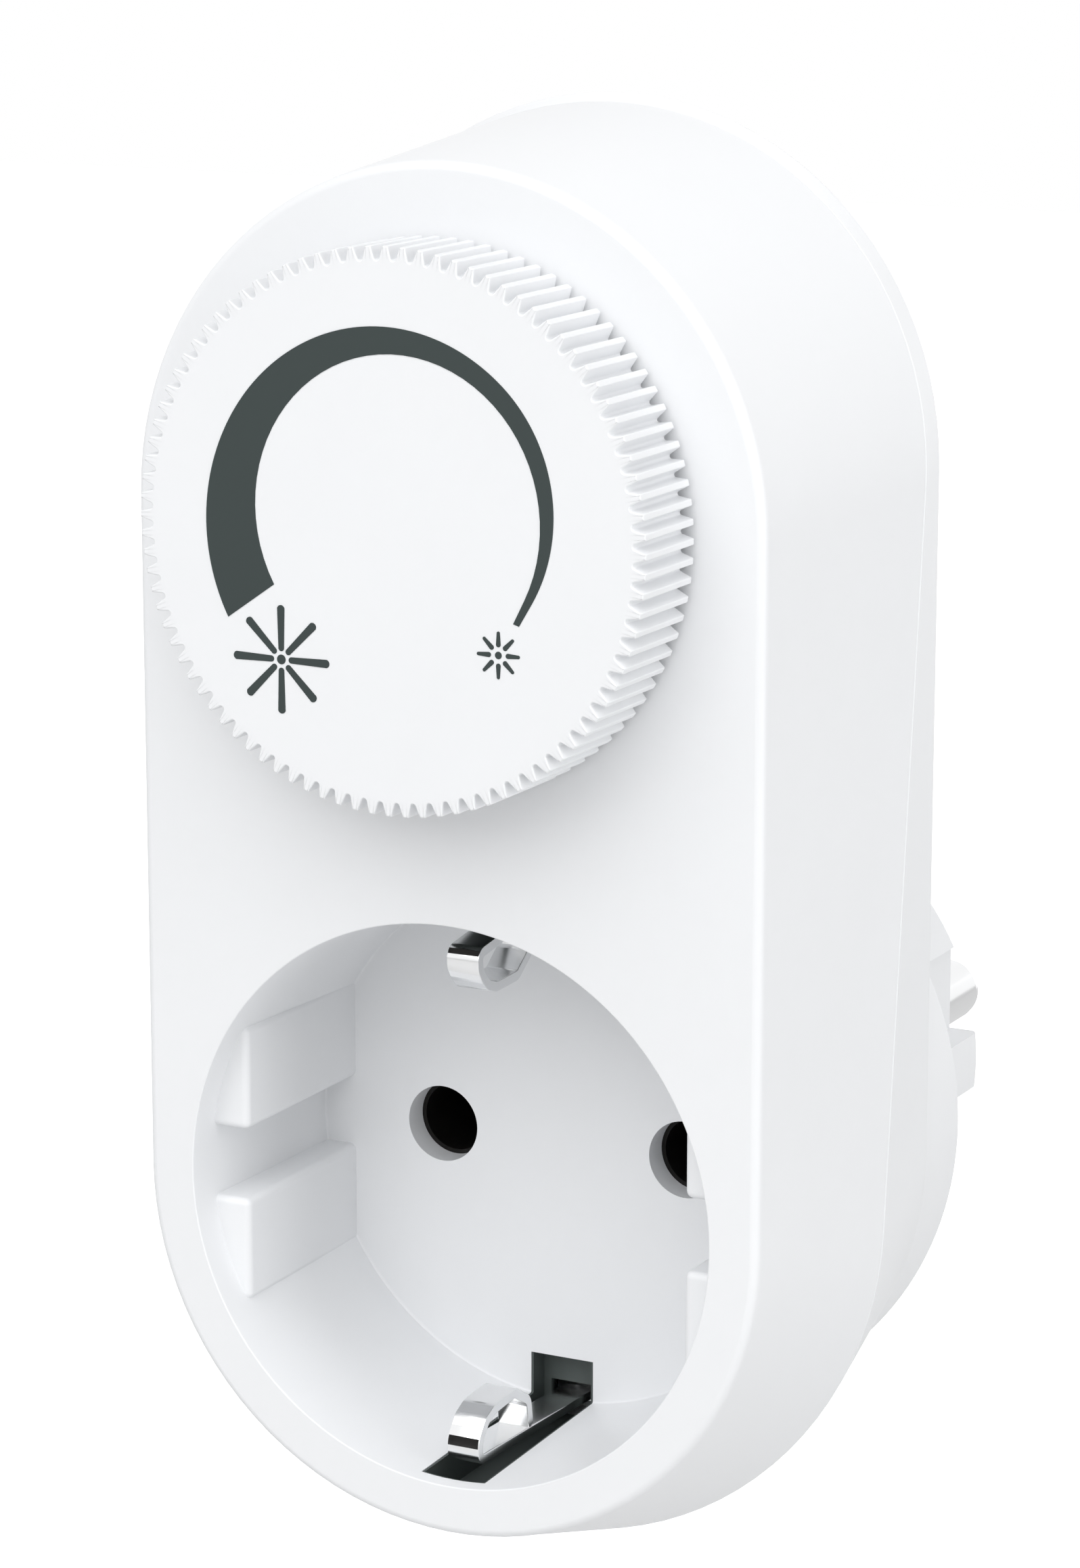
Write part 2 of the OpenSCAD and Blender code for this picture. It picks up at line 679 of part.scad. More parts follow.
module rear_cover() {
    keeper_x = carrier_r - keeper_inset - keeper_d / 2;
    color(white)
        difference() {
            union() {
                difference() {
                    union() {
                        intersection() {
                            housing_form();
                            parting_half(1);
                        }
                        round_base();
                        rod(plug_r, base_y - wall, 0);
                    }
                    housing_hollow();
                    rod(base_d / 2 - wall, inner_rear_y - over, base_inner_y);
                    rod(plug_hollow_d / 2, base_inner_y - over, face_inner_y);
                }
                for (place = post_places)
                    rod(rear_post_r, post_y + post_gap, rear_y - wall / 2, place[0], place[1]);
                for (x = [-standoff_x, standoff_x])
                    rod(standoff_d / 2, board_back_y, rear_y - wall / 2, x, presser_z);
                for (side = [-1, 1])
                    rod(keeper_d / 2, carrier_back_y, base_y - wall / 2, side * keeper_x, socket_z);
            }
            for (place = post_places) {
                rod(screw_d / 2 + screw_room, post_y, rear_y + over, place[0], place[1]);
                rod(head_room_r, seat_y, rear_y + over, place[0], place[1]);
            }
            for (x = [-pin_pitch / 2, pin_pitch / 2])
                rod(pin_root_d / 2 + pin_play, face_inner_y - over, over, x);
            for (side = [0, 1], up = [0, 1])
                mirror([side, 0, 0])
                    mirror([0, 0, up])
                        block([notch_across / 2, far], [base_y, over], stretch(notch_gap / 2, notch_h));
            for (up = [0, 1])
                mirror([0, 0, up]) {
                    block(centred(0, groove_w), [base_y, over], [groove_r, far]);
                    block(centred(0, strap_w + 2 * strip_play), [base_inner_y - over, base_y + over],
                        [groove_r, strip_inner_r + strap_t + strip_play]);
                }
        }
}

// Toothed outline of the dial, from the tip of each tooth to the root of the groove after it
module dial_outline() {
    polygon([for (i = [0 : dial_teeth - 1], at = [[0, dial_r, tooth_tip_w], [0.5, dial_root_r, tooth_root_w]],
        side = [-1, 1])
        let (turn = (i + at[0]) * 360 / dial_teeth + side * asin(at[2] / 2 / at[1]))
        [at[1] * sin(turn), at[1] * cos(turn)]]);
}

// Shaft section with its flat, or the hole for it with some slack
module shaft_section(slack, from_y, to_y) {
    difference() {
        rod(shaft_r + slack, from_y, to_y, 0, dial_z);
        block([-shaft_d, shaft_d], [from_y - over, to_y + over],
            [dial_z + shaft_r - shaft_flat + slack, dial_z + shaft_d]);
    }
}

module knob() {
    color(white)
        difference() {
            union() {
                difference() {
                    translate([0, dial_back_y, dial_z])
                        rotate([90, 0, 0])
                            linear_extrude(dial_h)
                                dial_outline();
                    rod(dial_root_r - dial_rim_t, dial_inner_y, dial_back_y + over, 0, dial_z);
                }
                rod(hub_d / 2, dial_inner_y - dial_face_t / 2, dial_back_y, 0, dial_z);
            }
            shaft_section(press_slack, dial_inner_y, dial_back_y + over);
        }
}

module pot_body() {
    color(black) {
        difference() {
            rod(pot_r, inner_front_y, pot_base_y, 0, dial_z);
            rod(pot_inner_r, inner_front_y + pot_front_t, pot_base_y + over, 0, dial_z);
            rod(shaft_r + shaft_play, inner_front_y - over, inner_front_y + pot_front_t + over, 0, dial_z);
        }
        translate([0, inner_front_y + pot_front_t / 2, dial_z])
            rotate([-90, 90 - lug_half_angle, 0])
                rotate_extrude(angle = 2 * lug_half_angle)
                    translate([lug_r, 0])
                        square([pot_r - pot_wall / 2 - lug_r, pot_front_t / 2 + wiper_room + wiper_t]);
    }
}

module pot_base() {
    color([0.45, 0.33, 0.18])
        difference() {
            union() {
                rod(pot_r, pot_base_y, board_y, 0, dial_z);
                for (x = [-terminal_pitch, 0, terminal_pitch])
                    rod(terminal_d / 2, board_y - pot_base_t / 2, board_back_y + terminal_d, x, terminal_z);
            }
            rod(journal_r + shaft_play, pot_base_y - over, board_y + over, 0, dial_z);
        }
}

module pot_shaft() {
    color(metal) {
        shaft_section(0, dial_inner_y + press_slack, front_y);
        rod(shaft_r, front_y - dial_gap / 2, wiper_y + wiper_t, 0, dial_z);
        rod(journal_r, wiper_y + wiper_t - leaf, board_y - pot_base_t / 4, 0, dial_z);
    }
}

module pot_wiper() {
    color(copper)
        difference() {
            union() {
                rod(wiper_r, wiper_y, wiper_y + wiper_t, 0, dial_z);
                block(centred(0, nose_w), stretch(wiper_y, wiper_t), [dial_z + track_mid_r, dial_z + nose_r]);
                rod(brush_d / 2, wiper_y, pot_base_y - track_t - shaft_play, 0, dial_z + track_mid_r);
            }
            rod(shaft_r + press_slack, wiper_y - over, wiper_y + wiper_t + over, 0, dial_z);
        }
}

module pot_track() {
    color(black)
        translate([0, pot_base_y - track_t, dial_z])
            rotate([-90, 90 + track_end, 0])
                rotate_extrude(angle = 360 - 2 * track_end)
                    translate([track_mid_r - track_w / 2, 0])
                        square([track_w, track_t]);
}

module circuit_board() {
    color([0.16, 0.38, 0.22])
        difference() {
            block([-board_w / 2, board_w / 2], [board_y, board_back_y], [board_low, board_high]);
            for (x = [-terminal_pitch, 0, terminal_pitch])
                rod(terminal_d / 2 + terminal_room, board_y - over, board_back_y + over, x, terminal_z);
        }
}

module triac() {
    body_y = board_back_y + triac_lift;
    leg_z = sink_z - triac_t / 2;
    color(black) {
        block(centred(triac_x, triac_w), stretch(body_y, triac_l), [sink_z - triac_t, sink_z]);
        block(centred(triac_x, triac_w), [body_y + triac_l, part_top_y], [sink_z - triac_tab_t, sink_z]);
        for (i = [-1, 0, 1])
            block(centred(triac_x + i * leg_pitch, leg_w), [board_back_y, body_y], centred(leg_z, leg_w));
    }
}

module heat_sink() {
    color(metal)
        block(stretch(-sink_offset, sink_w), [board_back_y, part_top_y], stretch(sink_z, sink_t));
}

module choke_core() {
    color([0.25, 0.25, 0.27])
        translate([-choke_offset, 0, choke_z]) {
            rod(choke_d / 2, board_back_y, board_back_y + choke_flange_t);
            rod(choke_neck_d / 2, board_back_y, part_top_y);
            rod(choke_d / 2, part_top_y - choke_flange_t, part_top_y);
        }
}

module choke_winding() {
    wound_from = board_back_y + choke_flange_t + winding_slack;
    wound_to = part_top_y - choke_flange_t - winding_slack;
    color(copper)
        translate([-choke_offset, 0, choke_z])
            difference() {
                rod(choke_d / 2 - winding_inset, wound_from, wound_to);
                rod(choke_neck_d / 2 + winding_slack, wound_from - over, wound_to + over);
            }
}

module film_capacitor() {
    color([0.80, 0.66, 0.20])
        block(stretch(film_offset, film_l), [board_back_y, part_top_y - headroom], stretch(film_z, film_w));
}

module timing_capacitor() {
    color([0.62, 0.20, 0.16])
        block(stretch(timing_x, timing_l), stretch(board_back_y, timing_h), stretch(timing_z, timing_t));
}

// Body along X with two leads bent down to the board
module axial_part(r, length, z) {
    lead_r = lead_d / 2;
    x = axial_offset;
    axis_y = board_back_y + r + axial_lift;
    translate([x - length / 2, axis_y, z])
        rotate([0, 90, 0])
            cylinder(r = r, h = length);
    translate([x - length / 2 - lead_out, axis_y, z])
        rotate([0, 90, 0])
            cylinder(r = lead_r, h = length + 2 * lead_out);
    for (side = [-1, 1])
        rod(lead_r, board_back_y, axis_y, x + side * (length / 2 + lead_out - lead_r), z);
}

module diac() {
    color([0.20, 0.35, 0.65])
        axial_part(diac_d / 2, diac_l, diac_z);
}

module resistors() {
    color([0.72, 0.62, 0.45])
        for (z = [lower_resistor_z, upper_resistor_z])
            axial_part(resistor_d / 2, resistor_l, z);
}

module fuse() {
    color([0.85, 0.88, 0.88]) {
        translate([-fuse_l / 2, fuse_y, fuse_z])
            rotate([0, 90, 0])
                cylinder(r = fuse_d / 2 - fuse_cap_t, h = fuse_l);
        for (x = [-fuse_l / 2, fuse_l / 2 - fuse_cap_l])
            translate([x, fuse_y, fuse_z])
                rotate([0, 90, 0])
                    cylinder(r = fuse_d / 2, h = fuse_cap_l);
    }
}

module fuse_clips() {
    outer_w = 2 * (fuse_seat_r + fuse_clip_t);
    color(metal)
        for (x = [-fuse_l / 2, fuse_l / 2 - fuse_clip_l])
            difference() {
                block(stretch(x, fuse_clip_l), [board_back_y, fuse_y + fuse_grip], centred(fuse_z, outer_w));
                translate([-fuse_l, fuse_y, fuse_z])
                    rotate([0, 90, 0])
                        cylinder(r = fuse_seat_r, h = 2 * fuse_l);
                block([-fuse_l, fuse_l], stretch(fuse_y, fuse_grip + over), centred(fuse_z, fuse_mouth));
            }
}

// Plug pin with a rounded tip, a thicker root in the plug's front wall and a collar behind it
module plug_pin(x) {
    rod(pin_root_d / 2, pin_inner_y, 0, x);
    rod(pin_r, pin_inner_y, pin_l - pin_tip_r, x);
    translate([x, pin_l - pin_tip_r, 0])
        rotate([-90, 0, 0])
            rotate_extrude()
                intersection() {
                    union() {
                        translate([0, -pin_tip_r])
                            square([pin_r - pin_tip_r, 2 * pin_tip_r]);
                        translate([pin_r - pin_tip_r, 0])
                            circle(pin_tip_r);
                    }
                    square([pin_r, pin_tip_r]);
                }
    rod(collar_d / 2, face_inner_y - collar_t, face_inner_y, x);
}

module live_pin() {
    color(metal) {
        plug_pin(pin_pitch / 2);
        block(centred(pin_pitch / 2, tab_w), stretch(pin_inner_y, tab_t), [0, tab_reach]);
    }
}

module neutral_pin() {
    color(metal)
        plug_pin(-pin_pitch / 2);
}

// Spring sleeve behind a pin hole, from the back of the recess through the carrier to a given depth
module socket_sleeve(x, to_y) {
    from_y = cup_back_y + seat_slack;
    difference() {
        union() {
            rod(sleeve_r, from_y, to_y, x, socket_z);
            children();
        }
        rod(sleeve_bore_d / 2, from_y - over, to_y + over, x, socket_z);
    }
}

module live_socket_contact() {
    color(copper)
        socket_sleeve(pin_pitch / 2, pin_inner_y - live_gap)
            block(centred(pin_pitch / 2, tab_w), centred(wire_deep_y, wire_d), stretch(socket_z, tab_reach));
}

module neutral_socket_contact() {
    color(copper)
        socket_sleeve(-pin_pitch / 2, pin_inner_y);
}

module contact_carrier() {
    cheek = stretch(cup_back_y, cheek_t);
    tongue_y = front_y + slot_start + tongue_gap;
    cheek_mid = slot_w / 2 + channel_wall / 2;
    lining = stretch(tongue_r, tongue_t);
    bead_space = centred(clip_strip_r, bead_seat_w + 2 * strip_play);
    color(black)
        difference() {
            union() {
                rod(carrier_r, cup_back_y, carrier_back_y, 0, socket_z);
                for (side = [-1, 1])
                    socket_top(side) {
                        for (x = [-cheek_mid, cheek_mid])
                            block(centred(x, channel_wall), cheek, [0, lining[1]]);
                        block(centred(0, slot_w + 2 * channel_wall), cheek, lining);
                        block(centred(0, slot_w - 2 * tongue_gap), [tongue_y, cheek[1]], lining);
                    }
            }
            for (x = [-pin_pitch / 2, pin_pitch / 2])
                rod(sleeve_r + seat_slack, cup_back_y - over, carrier_back_y + over, x, socket_z);
            for (side = [-1, 1])
                socket_top(side)
                    block(centred(0, strap_w + 2 * strip_play), [cup_back_y - over, carrier_back_y + over],
                        bead_space);
        }
}

// Upright strap behind the carrier, with a cupped seat for each clip's bead
module earth_strap() {
    seat = centred(clip_strip_r, bead_seat_w);
    color(metal)
        for (side = [-1, 1])
            socket_top(side)
                difference() {
                    union() {
                        block(centred(0, strap_w), [carrier_back_y, strap_back_y], [0, seat[1]]);
                        block(centred(0, strap_w), [bead_y, strap_back_y], seat);
                    }
                    translate([-strap_w, bead_y, clip_strip_r])
                        rotate([0, 90, 0])
                            cylinder(r = bead_r + bead_play, h = 2 * strap_w);
                }
}

// Outline of a clip's hollow nose: depth to the right, rise from the strip upwards
module nose_outline(inset) {
    low = -clip_t / 2 + inset;
    shoulder_r = clip_shoulder_r - inset;
    hull() {
        translate([inset, low])
            square([clip_nose_l - 2 * inset, clip_t]);
        translate([clip_shoulder_r, clip_nose_rise - clip_shoulder_r - clip_t / 2])
            circle(shoulder_r, $fn = 32);
        translate([clip_nose_l - clip_shoulder_r, clip_nose_rise - clip_shoulder_r])
            circle(shoulder_r, $fn = 32);
    }
}

// Clip at the top of the socket: a sprung strip with a hollow nose at its front and a bead at its root
module earth_clip(side) {
    color(metal)
        socket_top(side) {
            translate([-clip_w / 2, clip_front_y, clip_strip_r])
                mirror([0, 0, 1])
                    rotate([0, 90, 0])
                        rotate([0, 0, 90])
                            linear_extrude(clip_w)
                                difference() {
                                    nose_outline(0);
                                    nose_outline(clip_t);
                                }
            block(centred(0, clip_w), [clip_front_y + clip_nose_l - clip_t, bead_y],
                centred(clip_strip_r, clip_t));
            translate([-clip_w / 2, bead_y, clip_strip_r])
                rotate([0, 90, 0])
                    cylinder(r = bead_r, h = clip_w);
        }
}

module socket_earth_clip_top() {
    earth_clip(1);
}

module socket_earth_clip_bottom() {
    earth_clip(-1);
}

// Strip in a groove of the plug body, from the earth strap to near the plug face
module plug_earth_contact(side) {
    color(metal)
        mirror([0, 0, side > 0 ? 0 : 1])
            block(centred(0, strap_w), [strap_back_y, -strip_setback], stretch(strip_inner_r, strap_t));
}

module plug_earth_contact_top() {
    plug_earth_contact(1);
}

module plug_earth_contact_bottom() {
    plug_earth_contact(-1);
}

// Round wire through a list of points, with ball bends
module wire(points) {
    for (i = [0 : len(points) - 2]) {
        run = points[i + 1] - points[i];
        flat = norm([run[0], run[1]]);
        translate(points[i])
            rotate([0, atan2(flat, run[2]), atan2(run[1], run[0])])
                cylinder(r = wire_r, h = norm(run));
        if (i > 0)
            translate(points[i])
                sphere(wire_r);
    }
}

module live_wire() {
    color([0.45, 0.28, 0.16])
        wire([
            [live_x, board_back_y, wire_z],
            [live_x, wire_back_y, wire_z],
            [live_x, wire_back_y, wire_turn_z],
            [live_x, wire_deep_y, wire_turn_z],
            [live_x, wire_deep_y, wire_run_z],
            [live_x, pin_inner_y + tab_t / 2, wire_run_z],
            [pin_pitch / 2, pin_inner_y + tab_t / 2, wire_run_z],
            [pin_pitch / 2, pin_inner_y + tab_t / 2, tab_reach]
        ]);
}

module load_wire() {
    color([0.20, 0.22, 0.24])
        wire([
            [load_x, board_back_y, wire_z],
            [load_x, wire_back_y, wire_z],
            [load_x, wire_back_y, wire_turn_z],
            [load_x, wire_deep_y, wire_turn_z],
            [load_x, wire_deep_y, socket_z + tab_reach]
        ]);
}

module housing_screws() {
    color(metal)
        for (place = post_places)
            difference() {
                union() {
                    rod(screw_d / 2, seat_y - screw_l, seat_y + head_h / 2, place[0], place[1]);
                    rod(head_d / 2, seat_y, seat_y + head_h, place[0], place[1]);
                }
                for (turn = [0, 90])
                    translate([place[0], seat_y + head_h, place[1]])
                        rotate([0, turn, 0])
                            cube([head_slot_l, head_h, head_slot_w], center = true);
            }
}

front_cover();
rear_cover();
knob();
pot_body();
pot_base();
pot_shaft();
pot_wiper();
pot_track();
circuit_board();
triac();
heat_sink();
choke_core();
choke_winding();
film_capacitor();
timing_capacitor();
diac();
resistors();
fuse();
fuse_clips();
live_pin();
neutral_pin();
live_socket_contact();
neutral_socket_contact();
contact_carrier();
earth_strap();
socket_earth_clip_top();
socket_earth_clip_bottom();
plug_earth_contact_top();
plug_earth_contact_bottom();
live_wire();
load_wire();
housing_screws();
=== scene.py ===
# %% [markdown]
# # Plug-in dimmer
# A dimmer that plugs straight into a wall socket: a white housing with a dial above, an earthed socket
# below and a plug on its back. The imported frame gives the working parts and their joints. This lesson
# models the parts that are seen, one by one, and lets them ride on the bodies of the frame. All sizes
# below are millimetres in the shared frame: X to the right, Y into the wall, Z up.

# %% Frame and sizes
import json
import math

import bmesh
import bpy
from mathutils import Matrix, Vector


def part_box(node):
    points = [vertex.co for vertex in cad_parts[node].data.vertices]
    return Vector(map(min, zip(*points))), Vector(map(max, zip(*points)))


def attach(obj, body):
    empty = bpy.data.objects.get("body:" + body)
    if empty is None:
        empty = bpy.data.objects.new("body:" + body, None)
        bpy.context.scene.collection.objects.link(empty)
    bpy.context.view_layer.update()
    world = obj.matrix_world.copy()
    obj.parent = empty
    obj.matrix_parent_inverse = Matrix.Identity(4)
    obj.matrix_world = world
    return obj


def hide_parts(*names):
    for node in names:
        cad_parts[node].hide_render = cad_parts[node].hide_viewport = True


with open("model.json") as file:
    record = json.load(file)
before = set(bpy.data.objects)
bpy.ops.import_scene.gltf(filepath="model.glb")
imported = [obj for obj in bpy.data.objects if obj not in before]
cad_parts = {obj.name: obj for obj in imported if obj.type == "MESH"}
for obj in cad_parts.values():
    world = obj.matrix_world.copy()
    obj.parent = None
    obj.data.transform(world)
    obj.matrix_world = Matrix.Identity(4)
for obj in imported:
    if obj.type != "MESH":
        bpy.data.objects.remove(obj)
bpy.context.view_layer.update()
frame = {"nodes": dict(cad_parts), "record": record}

MM = 0.001
MOUNTS = {mount["name"]: mount for mount in frame["record"]["mounts"]}


def place_of(name):
    return Vector(MOUNTS[name]["pos_m"]) / MM


def box_of(node):
    low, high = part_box(node)
    return low / MM, high / MM


cover_low, cover_high = box_of("front_cover")
dial_low, dial_high = box_of("knob")

FACE_Y = cover_low.y
SOCKET_Z = place_of("live_socket_hole").z
PIN_X = place_of("live_plug_pin").x
DIAL_Z = (dial_low.z + dial_high.z) / 2
DIAL_R = (dial_high.x - dial_low.x) / 2
print("front face at", round(FACE_Y, 2), "dial radius", round(DIAL_R, 2), "dial axis at", round(DIAL_Z, 2))
cover_size = cover_high - cover_low
print("front cover is", round(cover_size.x, 2), "wide and", round(cover_size.z, 2), "high")

# %% [markdown]
# ## Finishes
# Moulded plastic is never quite even: the tool leaves a fine spark grain, and the colour drifts a little.
# Metal strip shows the streaks of its rolling. Pictures could carry such marks, but noise needs no
# picture and no unwrapped mesh, and on Object coordinates it stays put when a piece moves. Two node
# groups hold the effects. One material for each slot of the record, and one for the print, use them with
# their own colour.


# %% An empty node group
def new_group(name, inputs, outputs):
    tree = bpy.data.node_groups.new(name, "ShaderNodeTree")
    for label, kind, value in inputs:
        tree.interface.new_socket(label, in_out="INPUT", socket_type=kind).default_value = value
    for label, kind in outputs:
        tree.interface.new_socket(label, in_out="OUTPUT", socket_type=kind)
    return tree, tree.nodes.new("NodeGroupInput"), tree.nodes.new("NodeGroupOutput")


# %% Surface groups
DRIFT_DETAIL, GRAIN_DETAIL = 3, 2


def surface_group(name, stretch, drift_scale, grain_scale):
    """Makes a group that drifts a colour and a roughness, and gives a grain height, in Object space."""
    tree, start, end = new_group(
        name,
        [("Color", "NodeSocketColor", (1, 1, 1, 1)), ("Drift", "NodeSocketFloat", 0.02),
         ("Roughness", "NodeSocketFloat", 0.4), ("Spread", "NodeSocketFloat", 0.08)],
        [("Color", "NodeSocketColor"), ("Roughness", "NodeSocketFloat"), ("Height", "NodeSocketFloat")])
    link = tree.links.new
    where = tree.nodes.new("ShaderNodeTexCoord")
    squeeze = tree.nodes.new("ShaderNodeMapping")
    squeeze.inputs["Scale"].default_value = stretch
    link(where.outputs["Object"], squeeze.inputs["Vector"])
    noises = []
    for scale, detail in ((drift_scale, DRIFT_DETAIL), (grain_scale, GRAIN_DETAIL)):
        noise = tree.nodes.new("ShaderNodeTexNoise")
        noise.inputs["Scale"].default_value = scale
        noise.inputs["Detail"].default_value = detail
        link(squeeze.outputs["Vector"], noise.inputs["Vector"])
        noises.append(noise)
    drift = tree.nodes.new("ShaderNodeMath")
    drift.operation = "SUBTRACT"
    drift.inputs[1].default_value = 0.5
    link(noises[0].outputs["Fac"], drift.inputs[0])
    amount = tree.nodes.new("ShaderNodeMath")
    amount.operation = "MULTIPLY_ADD"
    amount.inputs[2].default_value = 1.0
    link(drift.outputs[0], amount.inputs[0])
    link(start.outputs["Drift"], amount.inputs[1])
    tint = tree.nodes.new("ShaderNodeVectorMath")
    tint.operation = "SCALE"
    link(start.outputs["Color"], tint.inputs[0])
    link(amount.outputs[0], tint.inputs["Scale"])
    rough = tree.nodes.new("ShaderNodeMath")
    rough.operation = "MULTIPLY_ADD"
    link(drift.outputs[0], rough.inputs[0])
    link(start.outputs["Spread"], rough.inputs[1])
    link(start.outputs["Roughness"], rough.inputs[2])
    link(tint.outputs["Vector"], end.inputs["Color"])
    link(rough.outputs[0], end.inputs["Roughness"])
    link(noises[1].outputs["Fac"], end.inputs["Height"])
    return tree


MOULDED = surface_group("moulded_grain", stretch=(1, 1, 1), drift_scale=140, grain_scale=6000)
ROLLED = surface_group("rolled_streaks", stretch=(1, 0.06, 0.5), drift_scale=900, grain_scale=9000)
print("node groups:", MOULDED.name, ROLLED.name)

# %% One material
GRAIN_DEPTH = 0.05 * MM
FINE_GRAIN = 0.02


def finish(name, group, color, drift, roughness, spread, bump=FINE_GRAIN, metallic=0.0):
    """Makes one material: a plain shader fed by a surface group."""
    material = bpy.data.materials.new(name)
    material.use_nodes = True
    tree = material.node_tree
    shader = tree.nodes["Principled BSDF"]
    shader.inputs["Metallic"].default_value = metallic
    surface = tree.nodes.new("ShaderNodeGroup")
    surface.node_tree = group
    surface.inputs["Color"].default_value = (*color, 1)
    surface.inputs["Drift"].default_value = drift
    surface.inputs["Roughness"].default_value = roughness
    surface.inputs["Spread"].default_value = spread
    grain = tree.nodes.new("ShaderNodeBump")
    grain.inputs["Strength"].default_value = bump
    grain.inputs["Distance"].default_value = GRAIN_DEPTH
    tree.links.new(surface.outputs["Color"], shader.inputs["Base Color"])
    tree.links.new(surface.outputs["Roughness"], shader.inputs["Roughness"])
    tree.links.new(surface.outputs["Height"], grain.inputs["Height"])
    tree.links.new(grain.outputs["Normal"], shader.inputs["Normal"])
    return material


# %% Plastics, wires and glass
# A row holds the colour, its drift, the roughness, its drift, and the strength of the grain.
MOULDED_ROWS = {
    "white_shell": ((0.84, 0.85, 0.865), 0.02, 0.42, 0.10, 0.06),
    "white_dial": ((0.845, 0.855, 0.87), 0.02, 0.38, 0.10, 0.05),
    "black_plastic": ((0.062, 0.075, 0.072), 0.20, 0.55, 0.15, 0.10),
    "board_green": ((0.05, 0.22, 0.10), 0.25, 0.45, 0.10, FINE_GRAIN),
    "ferrite": ((0.06, 0.06, 0.07), 0.30, 0.70, 0.15, 0.20),
    "yellow_plastic": ((0.70, 0.48, 0.06), 0.08, 0.35, 0.10, FINE_GRAIN),
    "red_plastic": ((0.42, 0.06, 0.04), 0.10, 0.30, 0.10, FINE_GRAIN),
    "blue_glass": ((0.05, 0.13, 0.40), 0.10, 0.15, 0.06, FINE_GRAIN),
    "beige_lacquer": ((0.52, 0.40, 0.24), 0.12, 0.35, 0.10, FINE_GRAIN),
    "fuse_glass": ((0.85, 0.88, 0.88), 0.03, 0.08, 0.03, 0.0),
    "brown_wire": ((0.22, 0.10, 0.04), 0.12, 0.45, 0.10, FINE_GRAIN),
    "black_wire": ((0.03, 0.03, 0.03), 0.20, 0.45, 0.10, FINE_GRAIN),
    "dial_print": ((0.024, 0.036, 0.035), 0.12, 0.60, 0.10, FINE_GRAIN),
}
FINISHES = {name: finish(name, MOULDED, *row) for name, row in MOULDED_ROWS.items()}
for name, socket, value in (("blue_glass", "Coat Weight", 0.5), ("fuse_glass", "Transmission Weight", 0.9)):
    FINISHES[name].node_tree.nodes["Principled BSDF"].inputs[socket].default_value = value
print("moulded finishes:", list(MOULDED_ROWS))

# %% Metals and laminate
# Here the last number is how metallic the finish is, and the grain is fine.
ROLLED_ROWS = {
    "brown_laminate": ((0.32, 0.20, 0.09), 0.35, 0.60, 0.15, 0.0),
    "copper_wire": ((0.55, 0.24, 0.10), 0.25, 0.30, 0.15, 1.0),
    "spring_brass": ((0.72, 0.52, 0.22), 0.15, 0.28, 0.12, 1.0),
    # dark_bronze is painted shade and painted reflection: its near-black colour stands in for the shade
    # deep in the pin holes on the socket contacts, and for the dark reflection across each earth clip.
    "dark_bronze": ((0.012, 0.011, 0.010), 0.20, 0.50, 0.12, 0.6),
    "nickel": ((0.86, 0.865, 0.87), 0.06, 0.20, 0.10, 1.0),
    "steel": ((0.58, 0.58, 0.59), 0.10, 0.32, 0.12, 1.0),
    "aluminium": ((0.68, 0.69, 0.70), 0.08, 0.38, 0.12, 1.0),
}
for name, (*row, metallic) in ROLLED_ROWS.items():
    FINISHES[name] = finish(name, ROLLED, *row, metallic=metallic)
print("rolled finishes:", list(ROLLED_ROWS))

# %% Finishes on the solids
SLOT_OF = {part["node"]: part["material_slot"] for part in frame["record"]["subparts"]}
for node, thing in frame["nodes"].items():
    for holder in thing.material_slots:
        holder.material = FINISHES[SLOT_OF[node]]
print(len(FINISHES), "finishes on", len(frame["nodes"]), "nodes")

# %% [markdown]
# ## From a drawn mesh to a piece
# Most of the object is moulded plastic, so nearly every shape is a skin over sections, a profile turned
# about an axis, or a block. Openings could be knifed into a mesh by hand. Here each tool is a small mesh
# of its own, and Boolean modifiers cut it out or join it on, as a mould maker cuts a cavity, so every
# size stays in one place. A moulding also shades softly, with crisp creases. Faces could be set smooth or
# flat one by one, but a crease angle and a Weighted Normal modifier do it for every piece alike. The
# piece then rides its body, wears the finish of its slot, and hides the solids that it stands for.


# %% Cutting and joining
PAST = 1.0  # how far a tool reaches past the face that it cuts


def as_object(bm, name):
    mesh = bpy.data.meshes.new(name)
    bm.to_mesh(mesh)
    bm.free()
    thing = bpy.data.objects.new(name, mesh)
    bpy.context.scene.collection.objects.link(thing)
    return thing


def shape(piece, operation, tools):
    """Cuts tools out of a piece, or joins them on, one after the other."""
    for bm in tools:
        tool = as_object(bm, "tool")
        step = piece.modifiers.new("step", "BOOLEAN")
        step.operation = operation
        step.solver = "MANIFOLD"
        step.object = tool
        graph = bpy.context.evaluated_depsgraph_get()
        made = bpy.data.meshes.new_from_object(piece.evaluated_get(graph))
        piece.modifiers.clear()
        spent = [piece.data, tool.data]
        piece.data = made
        bpy.data.objects.remove(tool)
        for mesh in spent:
            bpy.data.meshes.remove(mesh)
    print(piece.name, "has", len(piece.data.polygons), "faces after", operation.lower())


# %% Handing a piece over
def finish_piece(piece, body, slot, nodes=(), crease=32):
    """Scales a piece to metres, smooths its shading, gives it its finish, hangs it on its body and hides
    the solids it stands for.
    """
    mesh = piece.data
    mesh.transform(Matrix.Scale(MM, 4))
    mesh.polygons.foreach_set("use_smooth", [True] * len(mesh.polygons))
    mesh.set_sharp_from_angle(angle=math.radians(crease))
    weighted = piece.modifiers.new("flat faces", "WEIGHTED_NORMAL")
    weighted.keep_sharp = True
    mesh.materials.clear()
    mesh.materials.append(FINISHES[slot])
    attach(piece, body)
    if nodes:
        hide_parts(*nodes)
    print(piece.name, "has", len(mesh.polygons), "faces and rides", body)


